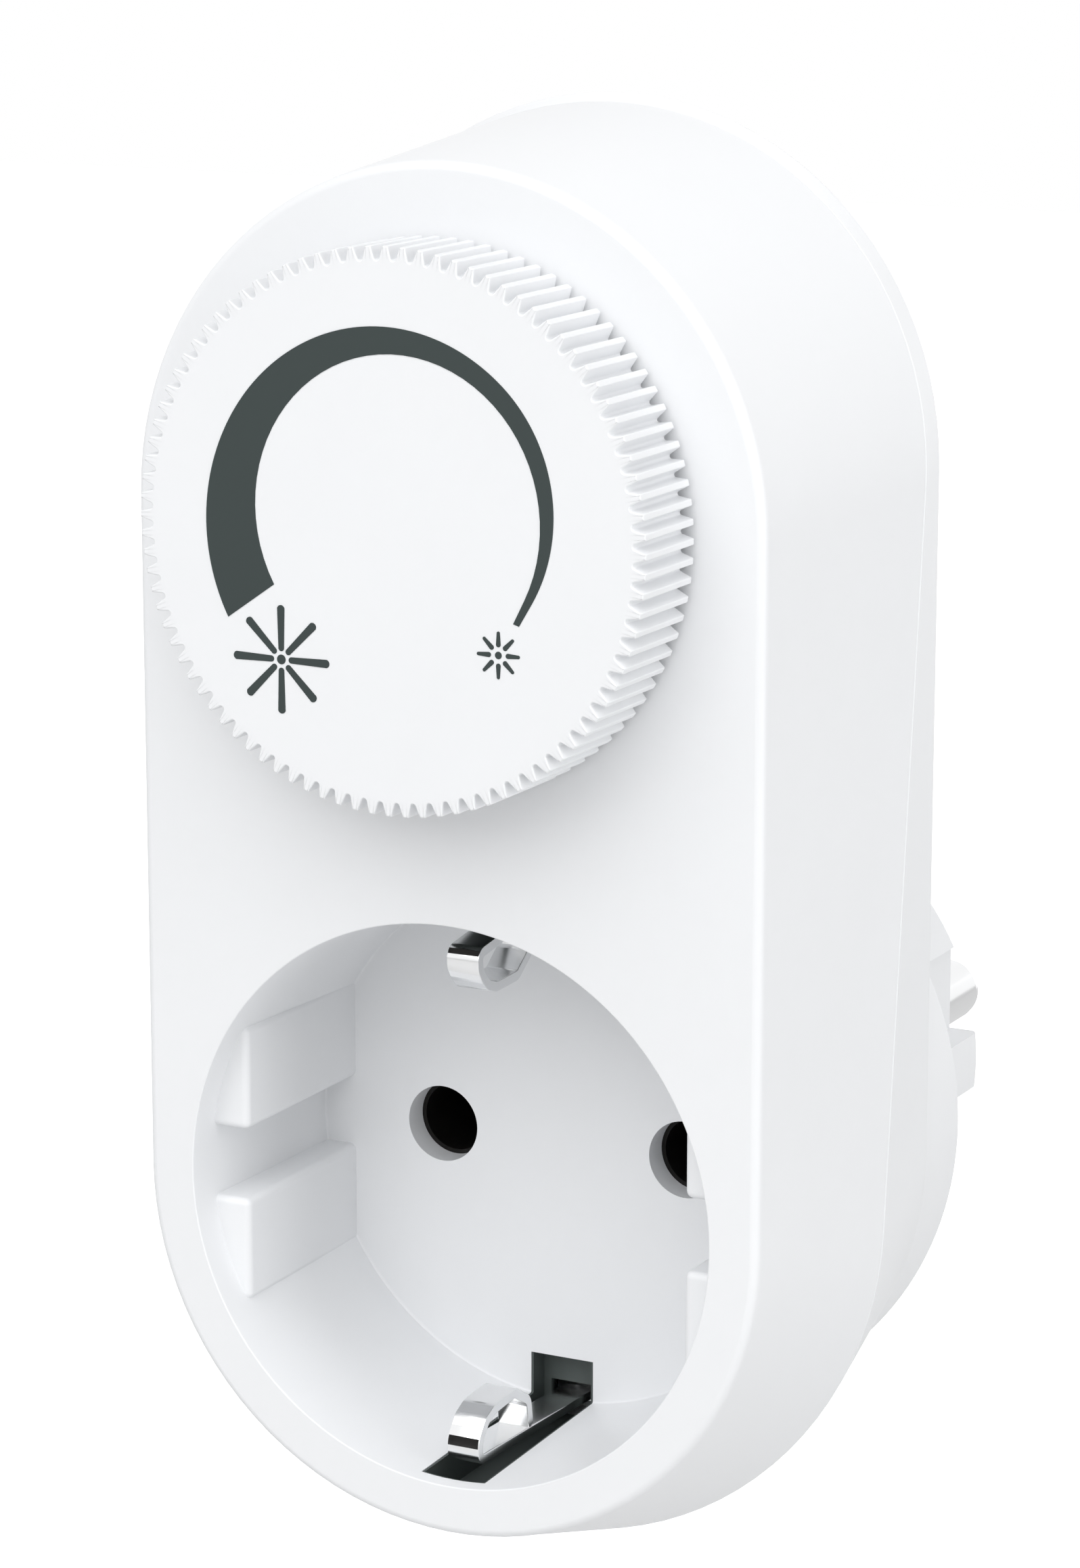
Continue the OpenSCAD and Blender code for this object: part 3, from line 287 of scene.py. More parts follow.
# %% [markdown]
# ## Front cover
# The front half of the housing is one moulding: a tapered shell with a rounded face, a deep round cup for
# a plug, and four guide ribs at the sides of the cup. The shell could be pulled out of a box with loop
# cuts. Here it is a skin over sections that grow towards the parting line, where the housing is widest,
# because such sections can be measured in a photo. A section is two half circles, each spun from one
# vertex, and the straight sides.


# %% Arcs and drawn lines
def polar(radius, degrees):
    turn = math.radians(degrees)
    return Vector((radius * math.sin(turn), 0, radius * math.cos(turn)))


def arc(bm, middle, radius, start, end):
    """Spins an arc about a middle point, from one angle to another, clockwise from straight up."""
    first = bm.verts.new(middle + polar(radius, start))
    turn = bmesh.ops.spin(bm, geom=[first], cent=middle, axis=(0, 1, 0), dvec=(0, 0, 0),
                          angle=math.radians(end - start), steps=48)
    return first, turn["geom_last"][0]


def chain(first):
    """Lists the points of a drawn line from its first vertex to its end, or round to the start again."""
    path, edge = [first], first.link_edges[0]
    while edge and edge.other_vert(path[-1]) is not first:
        path.append(edge.other_vert(path[-1]))
        edge = next((after for after in path[-1].link_edges if after is not edge), None)
    return [vert.co.copy() for vert in path]


# %% Sections and skins
def stadium(y, radius, top, low, lean=0.0):
    """Draws one section of the housing and lists its points."""
    bm = bmesh.new()
    upper_start, upper_end = arc(bm, Vector((0, 0, top - SOCKET_Z)), radius, -90, 90)
    lower_start, lower_end = arc(bm, Vector((0, 0, low - SOCKET_Z)), radius, 90, 270)
    bm.edges.new((upper_end, lower_start))
    bm.edges.new((lower_end, upper_start))
    bmesh.ops.rotate(bm, verts=bm.verts, cent=(0, 0, 0), matrix=Matrix.Rotation(-lean, 3, "X"))
    bmesh.ops.translate(bm, verts=bm.verts, vec=(0, y, SOCKET_Z))
    ring = chain(upper_start)
    bm.free()
    return ring


def skin(rings):
    """Stretches a closed skin over a row of rings, each a list of points."""
    bm = bmesh.new()
    loops = []
    for ring in rings:
        verts = [bm.verts.new(point) for point in ring]
        loops.append([bm.edges.new(pair) for pair in zip(verts, verts[1:] + verts[:1])])
    for pair in zip(loops, loops[1:]):
        bmesh.ops.bridge_loops(bm, edges=pair[0] + pair[1])
    for loop in (loops[0], loops[-1]):
        bmesh.ops.contextual_create(bm, geom=loop)
    bmesh.ops.recalc_face_normals(bm, faces=bm.faces)
    return bm


# %% Front cover shell
WALL, PARTING_Y = 2.0, FACE_Y + 17.2
FACE_R, EDGE_R = 23.05, 0.65
SKIRT_R, SKIRT_TOP, SKIRT_LOW, LEAN = 24.7, DIAL_Z + 0.8, SOCKET_Z - 2.8, math.radians(5.7)
SKIRT = (SKIRT_TOP, SKIRT_LOW, LEAN)
SEAM_Y, SEAM_GAP, SEAM_TOP, SEAM_DEPTH = 0.10, 0.02, 0.005, 0.07
EDGE_STEPS = 5
QUARTER = [math.pi / 2 * (1 - i / EDGE_STEPS) for i in range(EDGE_STEPS + 1)]

face_ring = [
    (FACE_Y + EDGE_R * (1 - math.sin(turn)), FACE_R - EDGE_R * (1 - math.cos(turn)), DIAL_Z, SOCKET_Z)
    for turn in QUARTER]
front_seam = [(PARTING_Y - SEAM_Y, SKIRT_R - SEAM_TOP, *SKIRT),
              (PARTING_Y - SEAM_GAP, SKIRT_R - SEAM_DEPTH, *SKIRT)]
front_skin = skin([stadium(*section) for section in face_ring + front_seam])
front_cover = as_object(front_skin, "front_cover_shell")
front_hollow = skin([stadium(*section) for section in (
    (FACE_Y + WALL, FACE_R - WALL, DIAL_Z, SOCKET_Z),
    (PARTING_Y, SKIRT_R - WALL, *SKIRT),
    (PARTING_Y + 3 * PAST, SKIRT_R - WALL, *SKIRT))])
shape(front_cover, "DIFFERENCE", [front_hollow])

# %% [markdown]
# The cup of the socket has a small round at its rim and another at its floor. It could be pushed in from
# the face by insets, but a turned profile keeps it truly round. The guide ribs are blocks with soft
# edges, trimmed to the cup by a rod. Slots at the top and bottom let the earth clips stand in the wall.


# %% Turned shapes
def rounded(bm, corners, segments=6):
    """Rounds corners of a drawn line, given as pairs of a vertex and a length along its edges."""
    for vert, offset in corners:
        bmesh.ops.bevel(bm, geom=[vert], offset=offset, segments=segments, profile=0.5, affect="VERTICES",
                        material=-1)


def turned(profile, x=0.0, z=0.0, steps=96):
    """Turns a profile of (radius, y, rounding) points about the Y axis and moves it to its place."""
    bm = bmesh.new()
    verts = [bm.verts.new((point[0], point[1], 0)) for point in profile]
    for pair in zip(verts, verts[1:]):
        bm.edges.new(pair)
    rounded(bm, [(vert, point[2]) for vert, point in zip(verts, profile) if len(point) > 2])
    bmesh.ops.spin(bm, geom=bm.verts[:] + bm.edges[:], cent=(0, 0, 0), axis=(0, 1, 0), dvec=(0, 0, 0),
                   angle=math.tau, steps=steps, use_merge=True)
    bmesh.ops.remove_doubles(bm, verts=bm.verts, dist=1e-4)
    bmesh.ops.translate(bm, verts=bm.verts, vec=(x, 0, z))
    bmesh.ops.recalc_face_normals(bm, faces=bm.faces)
    return bm


def rod(radius, y0, y1, x=0.0, z=0.0, steps=48):
    return turned([(0, y0), (radius, y0), (radius, y1), (0, y1)], x, z, steps)


# %% Blocks
def block(xs, ys, zs, rounding=0.0):
    """Draws a box between two limits on each axis, with all its edges rounded if asked."""
    bm = bmesh.new()
    bmesh.ops.create_cube(bm, size=1)
    limits = (xs, ys, zs)
    bmesh.ops.scale(bm, verts=bm.verts, vec=[high - low for low, high in limits])
    bmesh.ops.translate(bm, verts=bm.verts, vec=[(high + low) / 2 for low, high in limits])
    if rounding:
        bmesh.ops.bevel(bm, geom=bm.edges[:], offset=rounding, segments=4, profile=0.5, affect="EDGES",
                        material=-1)
    return bm


def wide(width):
    """Limits of a block of a given width about the middle."""
    return -width / 2, width / 2


def span(low, high, side, middle=0.0):
    """Limits of a block that lies between two distances on one side (1 or -1) of a middle."""
    return sorted((middle + side * low, middle + side * high))


# %% Socket cup
FLOOR_Y, CUP_BACK_Y = FACE_Y + 17.5, FACE_Y + 19.5
RIM_R, FLOOR_R, CUP_R = 19.55, 19.1, 21.15
RIM_ROUND, RIM_LIP, FLOOR_ROUND = 0.10, 0.11, 0.15
CHANNEL_W, CHANNEL_Y, CHANNEL_R = 7.3, FACE_Y + 2.8, 23.5
IN_CUP = 15.0


def hollow_cup(spare):
    """The space of the cup, with some to spare all round."""
    rim_r, edge, floor_y = RIM_R + spare, RIM_R + spare + RIM_LIP, FLOOR_Y + spare
    front = [(0, FACE_Y - PAST), (edge, FACE_Y - PAST), (edge, FACE_Y), (rim_r, FACE_Y, RIM_ROUND)]
    back = [(FLOOR_R + spare, floor_y, FLOOR_ROUND), (0, floor_y)]
    return turned(front + back, z=SOCKET_Z, steps=160)


cup = rod(CUP_R, FACE_Y + WALL / 2, CUP_BACK_Y, z=SOCKET_Z, steps=128)
channels = [block(wide(CHANNEL_W), (CHANNEL_Y, CUP_BACK_Y), span(IN_CUP, CHANNEL_R, side, SOCKET_Z))
            for side in (1, -1)]
shape(front_cover, "UNION", [cup] + channels)
shape(front_cover, "DIFFERENCE", [hollow_cup(0)])

# %% Guide ribs
RIB_X, RIB_Y, RIB_Z = (16.6, 20.6), (FACE_Y + 2.5, FLOOR_Y + 1.0), (2.5, 9.8)
RIB_SOFT, RIB_TRIM_R, RIB_TRIM_Y = 0.5, 20.4, FLOOR_Y + 0.8
for side in (-1, 1):
    for up in (-1, 1):
        drawn = block(span(*RIB_X, side), RIB_Y, span(*RIB_Z, up, SOCKET_Z), RIB_SOFT)
        rib = as_object(drawn, "rib")
        shape(rib, "INTERSECT", [rod(RIB_TRIM_R, FACE_Y, RIB_TRIM_Y, z=SOCKET_Z, steps=128)])
        drawn = bmesh.new()
        drawn.from_mesh(rib.data)
        bpy.data.objects.remove(rib)
        shape(front_cover, "UNION", [drawn])

# %% Slots and holes
SLOT_W, SLOT_Y, SLOT_IN, SLOT_OUT = 4.9, FACE_Y + 1.2, 15.9, 22.3
HOLE_R = MOUNTS["live_socket_hole"]["dims"]["r_mm"]
SHAFT_HOLE_R = 3.3
slots = [block(wide(SLOT_W), (SLOT_Y, CUP_BACK_Y + PAST), span(SLOT_IN, SLOT_OUT, side, SOCKET_Z))
         for side in (1, -1)]
holes = [rod(HOLE_R, FLOOR_Y - PAST, CUP_BACK_Y + PAST, side * PIN_X, SOCKET_Z, steps=64)
         for side in (1, -1)]
shaft_hole = rod(SHAFT_HOLE_R, FACE_Y - PAST, FACE_Y + WALL + PAST, z=DIAL_Z)
shape(front_cover, "DIFFERENCE", slots + holes + [shaft_hole])
finish_piece(front_cover, "housing", "white_shell", ["front_cover"])

# %% [markdown]
# The slots look black in the photo: dark strips line their sides and close the floor's opening behind the
# clip. A mask in the white material could darken them, but a piece of its own keeps one finish for each
# piece. Each lining is a box with its middle cut away, and the cup cut out of it.

# %% Slot linings
PLAY, LINING_T, LINING_BACK = 0.02, 0.15, 0.3
PASSAGE_W, PASSAGE_IN = 3.4, 18.3
PAST_SLOT, CUP_SPARE = 24.0, 0.03
lining_w, lining_y = SLOT_W - 2 * PLAY, SLOT_Y + PLAY
for side, name in ((1, "top"), (-1, "bottom")):
    outer = block(wide(lining_w), (lining_y, CUP_BACK_Y - PLAY),
                  span(SLOT_IN + PLAY, SLOT_OUT - PLAY, side, SOCKET_Z))
    middle = block(wide(lining_w - 2 * LINING_T), (lining_y + LINING_T, CUP_BACK_Y - LINING_BACK),
                   span(IN_CUP, PAST_SLOT, side, SOCKET_Z))
    passage = block(wide(PASSAGE_W), (CUP_BACK_Y - PAST, CUP_BACK_Y + PAST),
                    span(PASSAGE_IN, PAST_SLOT, side, SOCKET_Z))
    lining = as_object(outer, "slot_lining_" + name)
    shape(lining, "DIFFERENCE", [middle, passage, hollow_cup(CUP_SPARE)])
    finish_piece(lining, "housing", "black_plastic")

# %% [markdown]
# ## Rear cover
# The rear half carries the plug. Its shell is a skin like the front's. The round base and the plug body
# could be extruded from the shell, but turned on the plug's axis they stay round, and are then joined on.
# Notches at the sides and grooves above and below let the plug pass the ribs and earth clips of a wall
# socket.

# %% Rear shell, base and plug
REAR_Y, BASE_Y = -22.0, -16.0
REAR_R, REAR_EDGE, REAR_ENDS = 24.2, 0.7, (DIAL_Z + 1.5, SOCKET_Z + 0.3)
BASE_R, BASE_EDGE = 24.0, 0.35
PLUG_R, PLUG_EDGE = 19.0, 0.7
BITE = 2.0

rear_seam = [(PARTING_Y + SEAM_GAP, SKIRT_R - SEAM_DEPTH, *SKIRT),
             (PARTING_Y + SEAM_Y, SKIRT_R - SEAM_TOP, *SKIRT)]
rear_ring = [
    (REAR_Y - REAR_EDGE * (1 - math.cos(turn)), REAR_R - REAR_EDGE * (1 - math.sin(turn)), *REAR_ENDS)
    for turn in QUARTER]
rear_skin = skin([stadium(*section) for section in rear_seam + rear_ring])
rear_cover = as_object(rear_skin, "rear_cover_shell")


def drum(radius, y0, y1, edge):
    """A turned drum with a rounded edge at its far end."""
    return turned([(0, y0), (radius, y0), (radius, y1, edge), (0, y1)], steps=160)


base = drum(BASE_R, REAR_Y - BITE, BASE_Y, BASE_EDGE)
plug = drum(PLUG_R, BASE_Y - BITE, 0, PLUG_EDGE)
shape(rear_cover, "UNION", [base, plug])

# %% Inside of the rear cover
PLUG_HOLLOW_R, PLUG_WALL = 14.0, 3.5
SCREW_AT = [(side * x, z) for side in (1, -1) for x, z in ((12.79, 58.69), (17.1, 22.0))]
POST_R, POST_Y = 4.05, -32.95
rear_hollow = skin([stadium(*section) for section in (
    (PARTING_Y - 3 * PAST, SKIRT_R - WALL, *SKIRT),
    (PARTING_Y, SKIRT_R - WALL, *SKIRT),
    (REAR_Y - WALL, REAR_R - WALL, *REAR_ENDS))])
base_hollow = rod(BASE_R - WALL, REAR_Y - 2 * BITE, BASE_Y - WALL, steps=96)
plug_hollow = rod(PLUG_HOLLOW_R, BASE_Y - 2 * BITE, -PLUG_WALL, steps=96)
shape(rear_cover, "DIFFERENCE", [rear_hollow, base_hollow, plug_hollow])
shape(rear_cover, "UNION", [rod(POST_R, POST_Y, REAR_Y - WALL / 2, x, z) for x, z in SCREW_AT])

# %% Openings of the rear cover
NOTCH_X, NOTCH_Z = (16.6, 25.0), (2.05, 8.35)
GROOVE_W, GROOVE_Z = 5.2, (16.4, 25.0)
STRIP_W, STRIP_Z = 5.0, (16.4, 17.4)
PIN_ROOT_R = 2.6
HEAD_R, HEAD_Y, SHANK_R = 2.85, -29.95, 1.5
along = (BASE_Y, PAST)
notches = [block(span(*NOTCH_X, side), along, span(*NOTCH_Z, up)) for side in (1, -1) for up in (1, -1)]
grooves = [block(wide(GROOVE_W), along, span(*GROOVE_Z, up)) for up in (1, -1)]
through = (BASE_Y - WALL - PAST, BASE_Y + PAST)
strip_holes = [block(wide(STRIP_W), through, span(*STRIP_Z, up)) for up in (1, -1)]
pin_holes = [rod(PIN_ROOT_R + PLAY, -PLUG_WALL - PAST, PAST, side * PIN_X, steps=64) for side in (1, -1)]
head_holes = [rod(HEAD_R, HEAD_Y, REAR_Y + PAST, x, z) for x, z in SCREW_AT]
shank_holes = [rod(SHANK_R, POST_Y - PAST, HEAD_Y + PAST, x, z) for x, z in SCREW_AT]
shape(rear_cover, "DIFFERENCE", notches + grooves + strip_holes + pin_holes + head_holes + shank_holes)
finish_piece(rear_cover, "housing", "white_shell", ["rear_cover"], crease=22)

# %% [markdown]
# ## Dial
# The dial is knurled so that fingers grip it. An Array modifier could repeat one tooth, but would leave a
# seam at each. So one tooth and the groove after it are drawn as four points, spun to ninety-two places
# and joined into one closed outline. Rings of that outline, and round rings inside it, are then bridged
# from the face over a small chamfer, down the teeth, across the rim at the back, and into the hollow with
# its hub.

# %% Dial outline
TEETH, TOOTH = 92, 0.9
TIP_W, TIP_ROUND = 0.4, 0.06
ROOT_W, ROOT_ROUND = 0.25, 0.11
drawn = bmesh.new()
for at, radius, width in ((0, DIAL_R, TIP_W), (0.5, DIAL_R - TOOTH, ROOT_W)):
    for side in (-1, 1):
        turn = Matrix.Rotation(math.tau * at / TEETH + side * width / 2 / radius, 3, "Y")
        drawn.verts.new(turn @ Vector((0, 0, radius)))
bmesh.ops.spin(drawn, geom=drawn.verts[:], cent=(0, 0, 0), axis=(0, 1, 0), dvec=(0, 0, 0),
               angle=math.tau * (TEETH - 1) / TEETH, steps=TEETH - 1, use_duplicate=True)
ordered = sorted(drawn.verts, key=lambda vert: math.atan2(vert.co.x, vert.co.z))
for pair in zip(ordered, ordered[1:] + ordered[:1]):
    drawn.edges.new(pair)
tips = [vert for vert in ordered if vert.co.xz.length > DIAL_R - TOOTH / 2]
rounded(drawn, [(vert, TIP_ROUND if vert in tips else ROOT_ROUND) for vert in ordered], segments=3)
outline = chain(next(iter(drawn.verts)))
drawn.free()
print("dial outline has", len(outline), "points")

# %% Dial body
PRINT_T, FACE_T, LAND = 0.03, 1.6, 0.3
CHAMFER = ((0.0, 0.10), (0.04, 0.04), (0.16, 0.0))
HOLLOW_R, HUB_R, SHAFT_R = 15.2, 5.0, 3.02
courses = [after - before for before, after in zip(outline[-1:] + outline[:-1], outline[1:] + outline[:1])]
square = [Vector((course.z, 0, -course.x)).normalized() for course in courses]
if square[0].dot(outline[0]) < 0:
    square = [-out for out in square]


def toothed(y, inset):
    """One ring of the dial's outline, moved inwards square to itself."""
    return [point - out * inset + Vector((0, y, DIAL_Z)) for point, out in zip(outline, square)]


def circle(y, radius):
    """One round ring with the points of the outline brought onto it."""
    return [point * (radius / point.length) + Vector((0, y, DIAL_Z)) for point in outline]


face_y, hollow_y, back_y = dial_low.y + PRINT_T, dial_low.y + FACE_T, dial_high.y
rings = [circle(face_y, DIAL_R - TOOTH - LAND)]
rings += [toothed(face_y + depth, inset) for depth, inset in CHAMFER]
rings += [toothed(back_y, 0.0), circle(back_y, HOLLOW_R), circle(hollow_y, HOLLOW_R)]
rings += [circle(hollow_y, HUB_R), circle(back_y, HUB_R)]
rings += [circle(back_y, SHAFT_R), circle(hollow_y, SHAFT_R)]
finish_piece(as_object(skin(rings), "dial_knob"), "dial", "white_dial", ["knob"], crease=24)

# %% [markdown]
# ## Print on the dial
# A wedge that grows round the dial and two small suns tell which way is brighter. A picture on the face
# could show them, but its edges would blur close up. So each is a film that stands three hundredths of a
# millimetre out of the dial's face and turns with it. The wedge's outer edge is three arcs that run into
# each other, its inner edge is one, and both run out straight at the tail.


# %% Film of print
PRINT_SINK = 0.01


def printed(bm, name):
    """Turns flat drawn faces into a thin film in the dial's face."""
    bmesh.ops.recalc_face_normals(bm, faces=bm.faces)
    film = bmesh.ops.extrude_face_region(bm, geom=bm.faces[:])
    lifted = [part for part in film["geom"] if isinstance(part, bmesh.types.BMVert)]
    bmesh.ops.translate(bm, verts=lifted, vec=(0, PRINT_T + PRINT_SINK, 0))
    bmesh.ops.translate(bm, verts=bm.verts, vec=(0, dial_low.y, DIAL_Z))
    bmesh.ops.recalc_face_normals(bm, faces=bm.faces)
    finish_piece(as_object(bm, name), "dial", "dial_print")


# %% Level wedge
OUTER_START, OUTER_ARCS = -118, ((13.28, -24.7), (12.76, 42), (10.78, 121))
INNER_MIDDLE, INNER_R, INNER_START, INNER_END = Vector((0.67, 0, 1.25)), 10.28, -119.6, 117
TAIL = 1.7
drawn = bmesh.new()
middle, before, start, ends = Vector((0, 0, 0)), OUTER_ARCS[0][0], OUTER_START, []
for radius, end in OUTER_ARCS:
    middle = middle + polar(before - radius, start)
    ends += arc(drawn, middle, radius, start, end)
    before, start = radius, end
outer_start, outer_end = ends[0], ends[-1]
inner_start, inner_end = arc(drawn, INNER_MIDDLE, INNER_R, INNER_START, INNER_END)
outer_tail = drawn.verts.new(outer_end.co + polar(TAIL, OUTER_ARCS[-1][1] + 90))
inner_tail = drawn.verts.new(inner_end.co + polar(TAIL, INNER_END + 90))
drawn.edges.new((outer_start, inner_start))
for pair in ((inner_end, inner_tail), (inner_tail, outer_tail), (outer_tail, outer_end)):
    drawn.edges.new(pair)
bmesh.ops.remove_doubles(drawn, verts=drawn.verts, dist=0.005)
bmesh.ops.contextual_create(drawn, geom=drawn.edges[:])
printed(drawn, "level_wedge")


# %% Suns
RAYS = 8


def disc(bm, radius):
    """Draws a flat round face that looks along Y."""
    facing = Matrix.Rotation(math.pi / 2, 4, "X")
    return bmesh.ops.create_circle(bm, cap_ends=True, segments=20, radius=radius, matrix=facing)["verts"]


def sun(name, at, start, reach, inner_w, outer_w, dot_r):
    """Eight tapered rays with round ends about a dot: a ray is a disc with its halves drawn apart."""
    bm = bmesh.new()
    ray = disc(bm, outer_w / 2)
    inner = [vert for vert in ray if vert.co.z < 1e-6]
    outer = [vert for vert in ray if vert not in inner]
    bmesh.ops.scale(bm, verts=inner, vec=[inner_w / outer_w] * 3)
    bmesh.ops.translate(bm, verts=inner, vec=(0, 0, start + inner_w / 2))
    bmesh.ops.translate(bm, verts=outer, vec=(0, 0, reach - outer_w / 2))
    first = ray + bm.faces[:]
    for i in range(1, RAYS):
        copy = bmesh.ops.duplicate(bm, geom=first)["geom"]
        bmesh.ops.rotate(bm, cent=(0, 0, 0), matrix=Matrix.Rotation(math.tau * i / RAYS, 3, "Y"),
                         verts=[part for part in copy if isinstance(part, bmesh.types.BMVert)])
    disc(bm, dot_r)
    bmesh.ops.translate(bm, verts=bm.verts, vec=at)
    printed(bm, name)


sun("bright_sun", (-7.79, 0, -8.70), start=0.54, reach=3.56, inner_w=0.41, outer_w=0.57, dot_r=0.32)
sun("dim_sun", (8.01, 0, -7.02), start=0.52, reach=1.53, inner_w=0.33, outer_w=0.23, dot_r=0.24)

# %% [markdown]
# ## Earth clips
# Each clip is a narrow spring strip that stands in its slot. It runs to the front, turns up, and comes
# back as an arch that meets the plug. A curve with a flat bevel could follow that route, but would pinch
# at the tight bends. So the route down the middle of the metal is drawn as a bent line, given its
# thickness to both sides, and drawn out to its width. The upper clip leans further in than the lower one.
# A near-black film in a shallow groove across the front of each is painted reflection, standing in for a
# dark reflection.

# %% Clip strip
CLIP_W, SHEET_T, SHEET_EDGE = 2.44, 0.7, 0.09
CLIP_ROOT = (FACE_Y + 20.3, -19.3)
CLIP_BENDS = ((2.95, -18.55, 0.55), (2.95, -17.45, 0.2), (3.35, -16.75, 0.2), (3.95, -16.05, 0.2),
              (5.1, -15.55, 0.2), (8.1, -15.36, 0.2), (10.1, -16.5, 0.35))
CLIP_END = (FACE_Y + 10.45, -18.47)
CLIP_ROUTE = [CLIP_ROOT] + [(FACE_Y + y, z, rounding) for y, z, rounding in CLIP_BENDS] + [CLIP_END]


def strip(points, width, thickness):
    """Bends a strip of sheet metal along (y, z, rounding) points."""
    bm = bmesh.new()
    verts = [bm.verts.new((-width / 2, point[0], point[1])) for point in points]
    for pair in zip(verts, verts[1:]):
        bm.edges.new(pair)
    rounded(bm, [(vert, point[2]) for vert, point in zip(verts, points) if len(point) > 2])
    line = chain(verts[0])
    bm.clear()
    courses = [after - before for before, after in zip(line[:1] + line[:-1], line[1:] + line[-1:])]
    square = [Vector((0, -course.z, course.y)).normalized() * (thickness / 2) for course in courses]
    edge = [point + out for point, out in zip(line, square)]
    edge += [point - out for point, out in zip(reversed(line), reversed(square))]
    face = bm.faces.new([bm.verts.new(point) for point in edge])
    made = bmesh.ops.extrude_face_region(bm, geom=[face])["geom"]
    bmesh.ops.translate(bm, verts=[part for part in made if isinstance(part, bmesh.types.BMVert)],
                        vec=(width, 0, 0))
    bmesh.ops.recalc_face_normals(bm, faces=bm.faces)
    sides = [side for side in bm.faces if abs(side.normal.x) > 0.5]
    bmesh.ops.bevel(bm, geom=[rim for side in sides for rim in side.edges], offset=SHEET_EDGE, segments=2,
                    profile=0.5, affect="EDGES", material=-1)
    return bm


# %% Two clips
# Painted reflection: the near-black film across each clip stands in for a dark reflection and is not a
# part.
REFLECTION_W = CLIP_W - 0.12
GROOVE_Y, REFLECTION_Y = (FACE_Y + 2.4, FACE_Y + 3.05), (FACE_Y + 2.95, FACE_Y + 3.15)


def in_socket(bm, side, lean):
    """Leans a drawn clip about its root, and puts it at the top (side 1) or bottom (-1) of the socket."""
    tilt = Matrix.Rotation(-math.radians(lean), 3, "X")
    bmesh.ops.rotate(bm, verts=bm.verts, cent=(0, *CLIP_ROOT), matrix=tilt)
    bmesh.ops.scale(bm, verts=bm.verts, vec=(1, 1, -side))
    bmesh.ops.translate(bm, verts=bm.verts, vec=(0, 0, SOCKET_Z))
    bmesh.ops.recalc_face_normals(bm, faces=bm.faces)
    return bm


for side, name, lean, reflection_z in ((1, "top", 5.0, (-18.75, -18.45)), (-1, "bottom", 0.0, (-17.65, -17.0))):
    clip = as_object(in_socket(strip(CLIP_ROUTE, CLIP_W, SHEET_T), side, lean), "socket_clip_" + name)
    groove = in_socket(block(wide(REFLECTION_W), GROOVE_Y, reflection_z), side, lean)
    reflection_film = in_socket(block(wide(REFLECTION_W), REFLECTION_Y, reflection_z), side, lean)
    shape(clip, "DIFFERENCE", [groove])
    finish_piece(clip, name + "_clip", "nickel", ["socket_earth_clip_" + name])
    # The film wears near-black dark_bronze as a painted reflection.
    finish_piece(as_object(reflection_film, "clip_painted_reflection_" + name), name + "_clip", "dark_bronze")

# %% [markdown]
# ## Plug pins and earth strips
# Pins like these are turned from rod. A cylinder with a bevel would do for the bar, but a turned profile
# also gives the round tip and the thicker root that stands in the plug's front wall. The two earth strips
# lie in the grooves of the plug body, and are blocks with the edges of stamped sheet.

# %% Pins and strips
PIN_R, PIN_TIP = MOUNTS["live_plug_pin"]["dims"]["r_mm"], 2.0
STRIP_EDGE = 0.18
for side, name in ((1, "live"), (-1, "neutral")):
    low, high = box_of(name + "_pin")
    root = [(0, low.y), (PIN_ROOT_R, low.y), (PIN_ROOT_R, -PLAY)]
    bar = [(PIN_R, PLAY), (PIN_R, high.y, PIN_TIP), (0, high.y)]
    pin = turned(root + bar, side * PIN_X, steps=64)
    finish_piece(as_object(pin, name + "_pin_bar"), "housing", "nickel", [name + "_pin"])
for name in ("top", "bottom"):
    low, high = box_of("plug_earth_contact_" + name)
    sheet = block((low.x, high.x), (low.y, high.y), (low.z, high.z), STRIP_EDGE)
    piece = as_object(sheet, "plug_strip_" + name)
    finish_piece(piece, "housing", "nickel", ["plug_earth_contact_" + name])

# %% [markdown]
# ## Stage
# The photo shows the object alone on white, lit softly from all round and a little more from above.
# Strong lamps could burn the background out, but they would bleach the object too. So camera rays see
# floor and world as plain white, mirrors and glass see a shine, and the rest is lit at a plain level. The
# floor lies well below the object, which really hangs in a wall socket.


# %% White to the camera
def white_to_camera(tree, light, shine):
    """A level: white to the camera, a shine in mirrors and through glass, and a light to all other rays."""
    path = tree.nodes.new("ShaderNodeLightPath")
    mirrored = tree.nodes.new("ShaderNodeMath")
    mirrored.operation = "MAXIMUM"
    for i, ray in enumerate(("Is Glossy Ray", "Is Transmission Ray")):
        tree.links.new(path.outputs[ray], mirrored.inputs[i])
    total = tree.nodes.new("ShaderNodeMath")
    rays = ((path.outputs["Is Camera Ray"], light, 1.0), (mirrored.outputs[0], 0.0, shine - light))
    for i, (ray, low, high) in enumerate(rays):
        level = tree.nodes.new("ShaderNodeMapRange")
        level.inputs["To Min"].default_value = low
        level.inputs["To Max"].default_value = high
        tree.links.new(ray, level.inputs["Value"])
        tree.links.new(level.outputs["Result"], total.inputs[i])
    return total.outputs[0]


# %% World
SKY_LIGHT, SKY_SHINE = 0.54, 1.05
world = bpy.data.worlds.new("studio")
bpy.context.scene.world = world
world.use_nodes = True
sky = world.node_tree.nodes["Background"]
sky.inputs["Color"].default_value = (1, 1, 1, 1)
world.node_tree.links.new(white_to_camera(world.node_tree, SKY_LIGHT, SKY_SHINE), sky.inputs["Strength"])
print("world lights at", SKY_LIGHT, "and shines at", SKY_SHINE)

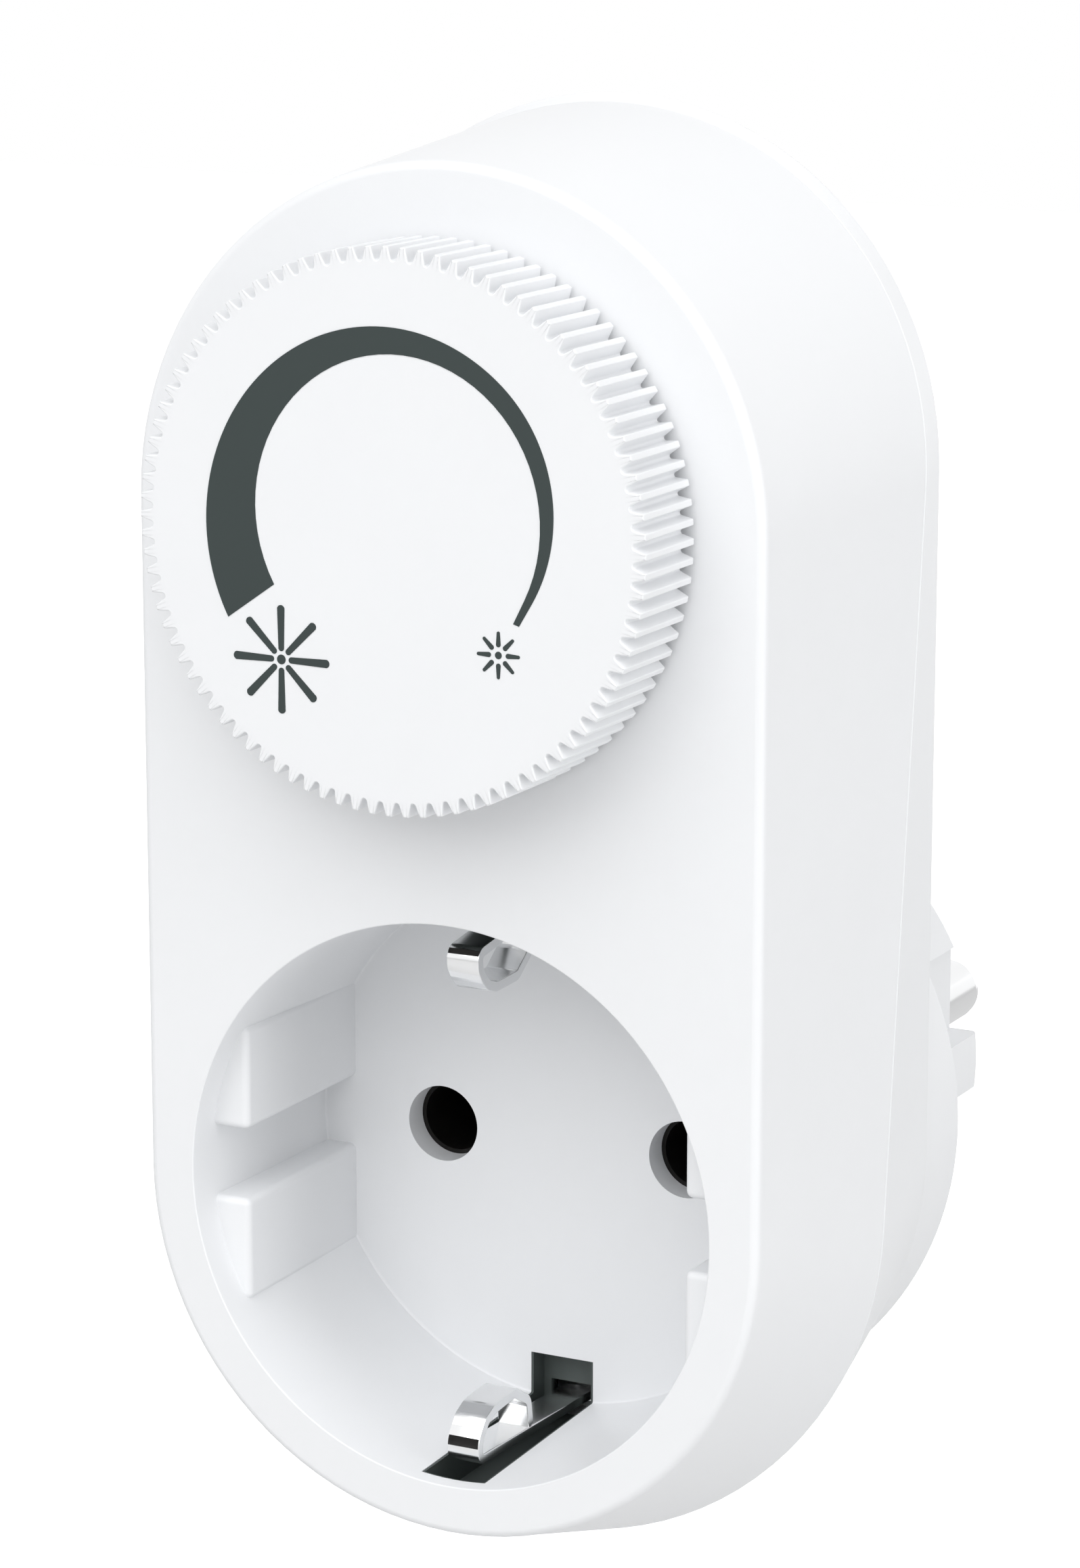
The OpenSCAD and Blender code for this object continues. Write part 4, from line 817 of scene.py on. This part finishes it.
# %% Floor
FLOOR_HALF, FLOOR_DROP, FLOOR_SHINE = 2.0, 0.12, 0.12
floor_z = cover_low.z * MM - FLOOR_DROP
drawn = bmesh.new()
bmesh.ops.create_grid(drawn, x_segments=1, y_segments=1, size=FLOOR_HALF)
bmesh.ops.translate(drawn, verts=drawn.verts, vec=(0, 0, floor_z))
floor = as_object(drawn, "studio_floor")
paper = finish("paper", MOULDED, color=(0.7, 0.7, 0.7), drift=0.01, roughness=0.9, spread=0.02)
tree = paper.node_tree
glow = tree.nodes.new("ShaderNodeEmission")
tree.links.new(white_to_camera(tree, 0.0, FLOOR_SHINE), glow.inputs["Strength"])
both = tree.nodes.new("ShaderNodeAddShader")
tree.links.new(tree.nodes["Principled BSDF"].outputs[0], both.inputs[0])
tree.links.new(glow.outputs[0], both.inputs[1])
tree.links.new(both.outputs[0], tree.nodes["Material Output"].inputs["Surface"])
floor.data.materials.append(paper)
print("floor at", round(floor_z, 3), "m")

# %% [markdown]
# ## Lamps
# The light in the photo is soft and seems to come mostly from above the front. Point lamps could give the
# same levels, but would throw hard shadows into the cup. So there is a broad box above the front, a tall
# strip for the right side, and a weak fill behind.

# %% Lamps
CENTRE = Vector((0, -0.03, 0.022))


def lamp(name, place, width, height, power):
    """Hangs a square or strip lamp that looks at the middle of the object. Its sizes are metres."""
    data = bpy.data.lights.new(name, "AREA")
    data.shape = "RECTANGLE"
    data.size, data.size_y = width, height
    data.energy = power
    thing = bpy.data.objects.new(name, data)
    thing.location = place
    thing.rotation_euler = (CENTRE - Vector(place)).to_track_quat("-Z", "Y").to_euler()
    bpy.context.scene.collection.objects.link(thing)


lamp("front_box", (0.03, -0.585, 0.592), width=0.9, height=0.9, power=5.15)
lamp("right_strip", (0.78, -0.16, 0.10), width=0.25, height=0.9, power=2.45)
lamp("back_fill", (0, 0.80, -0.08), width=0.6, height=0.6, power=0.8)

# %% [markdown]
# ## Camera
# The camera stands where the photo was taken from. It could be moved by eye until the picture fits, but
# its place, lens and shift were worked out from points of known size, such as the pin holes and the
# recess, so that every other piece could be measured through it.

# %% Camera
PHOTO_H = 2317
lens = bpy.data.cameras.new("photo_lens")
lens.sensor_width = 36
lens.lens = 107.12
lens.shift_x = 15.69 / PHOTO_H
lens.shift_y = -6.15 / PHOTO_H
camera = bpy.data.objects.new("photo_camera", lens)
camera.location = (0.1421, -0.3099, 0.0951)
camera.rotation_euler = (math.radians(77.42), 0, math.radians(27.38))
bpy.context.scene.collection.objects.link(camera)
bpy.context.scene.camera = camera
bpy.context.scene.view_settings.view_transform = "Standard"
print("camera is", round((camera.location - CENTRE).length, 3), "m from the object")
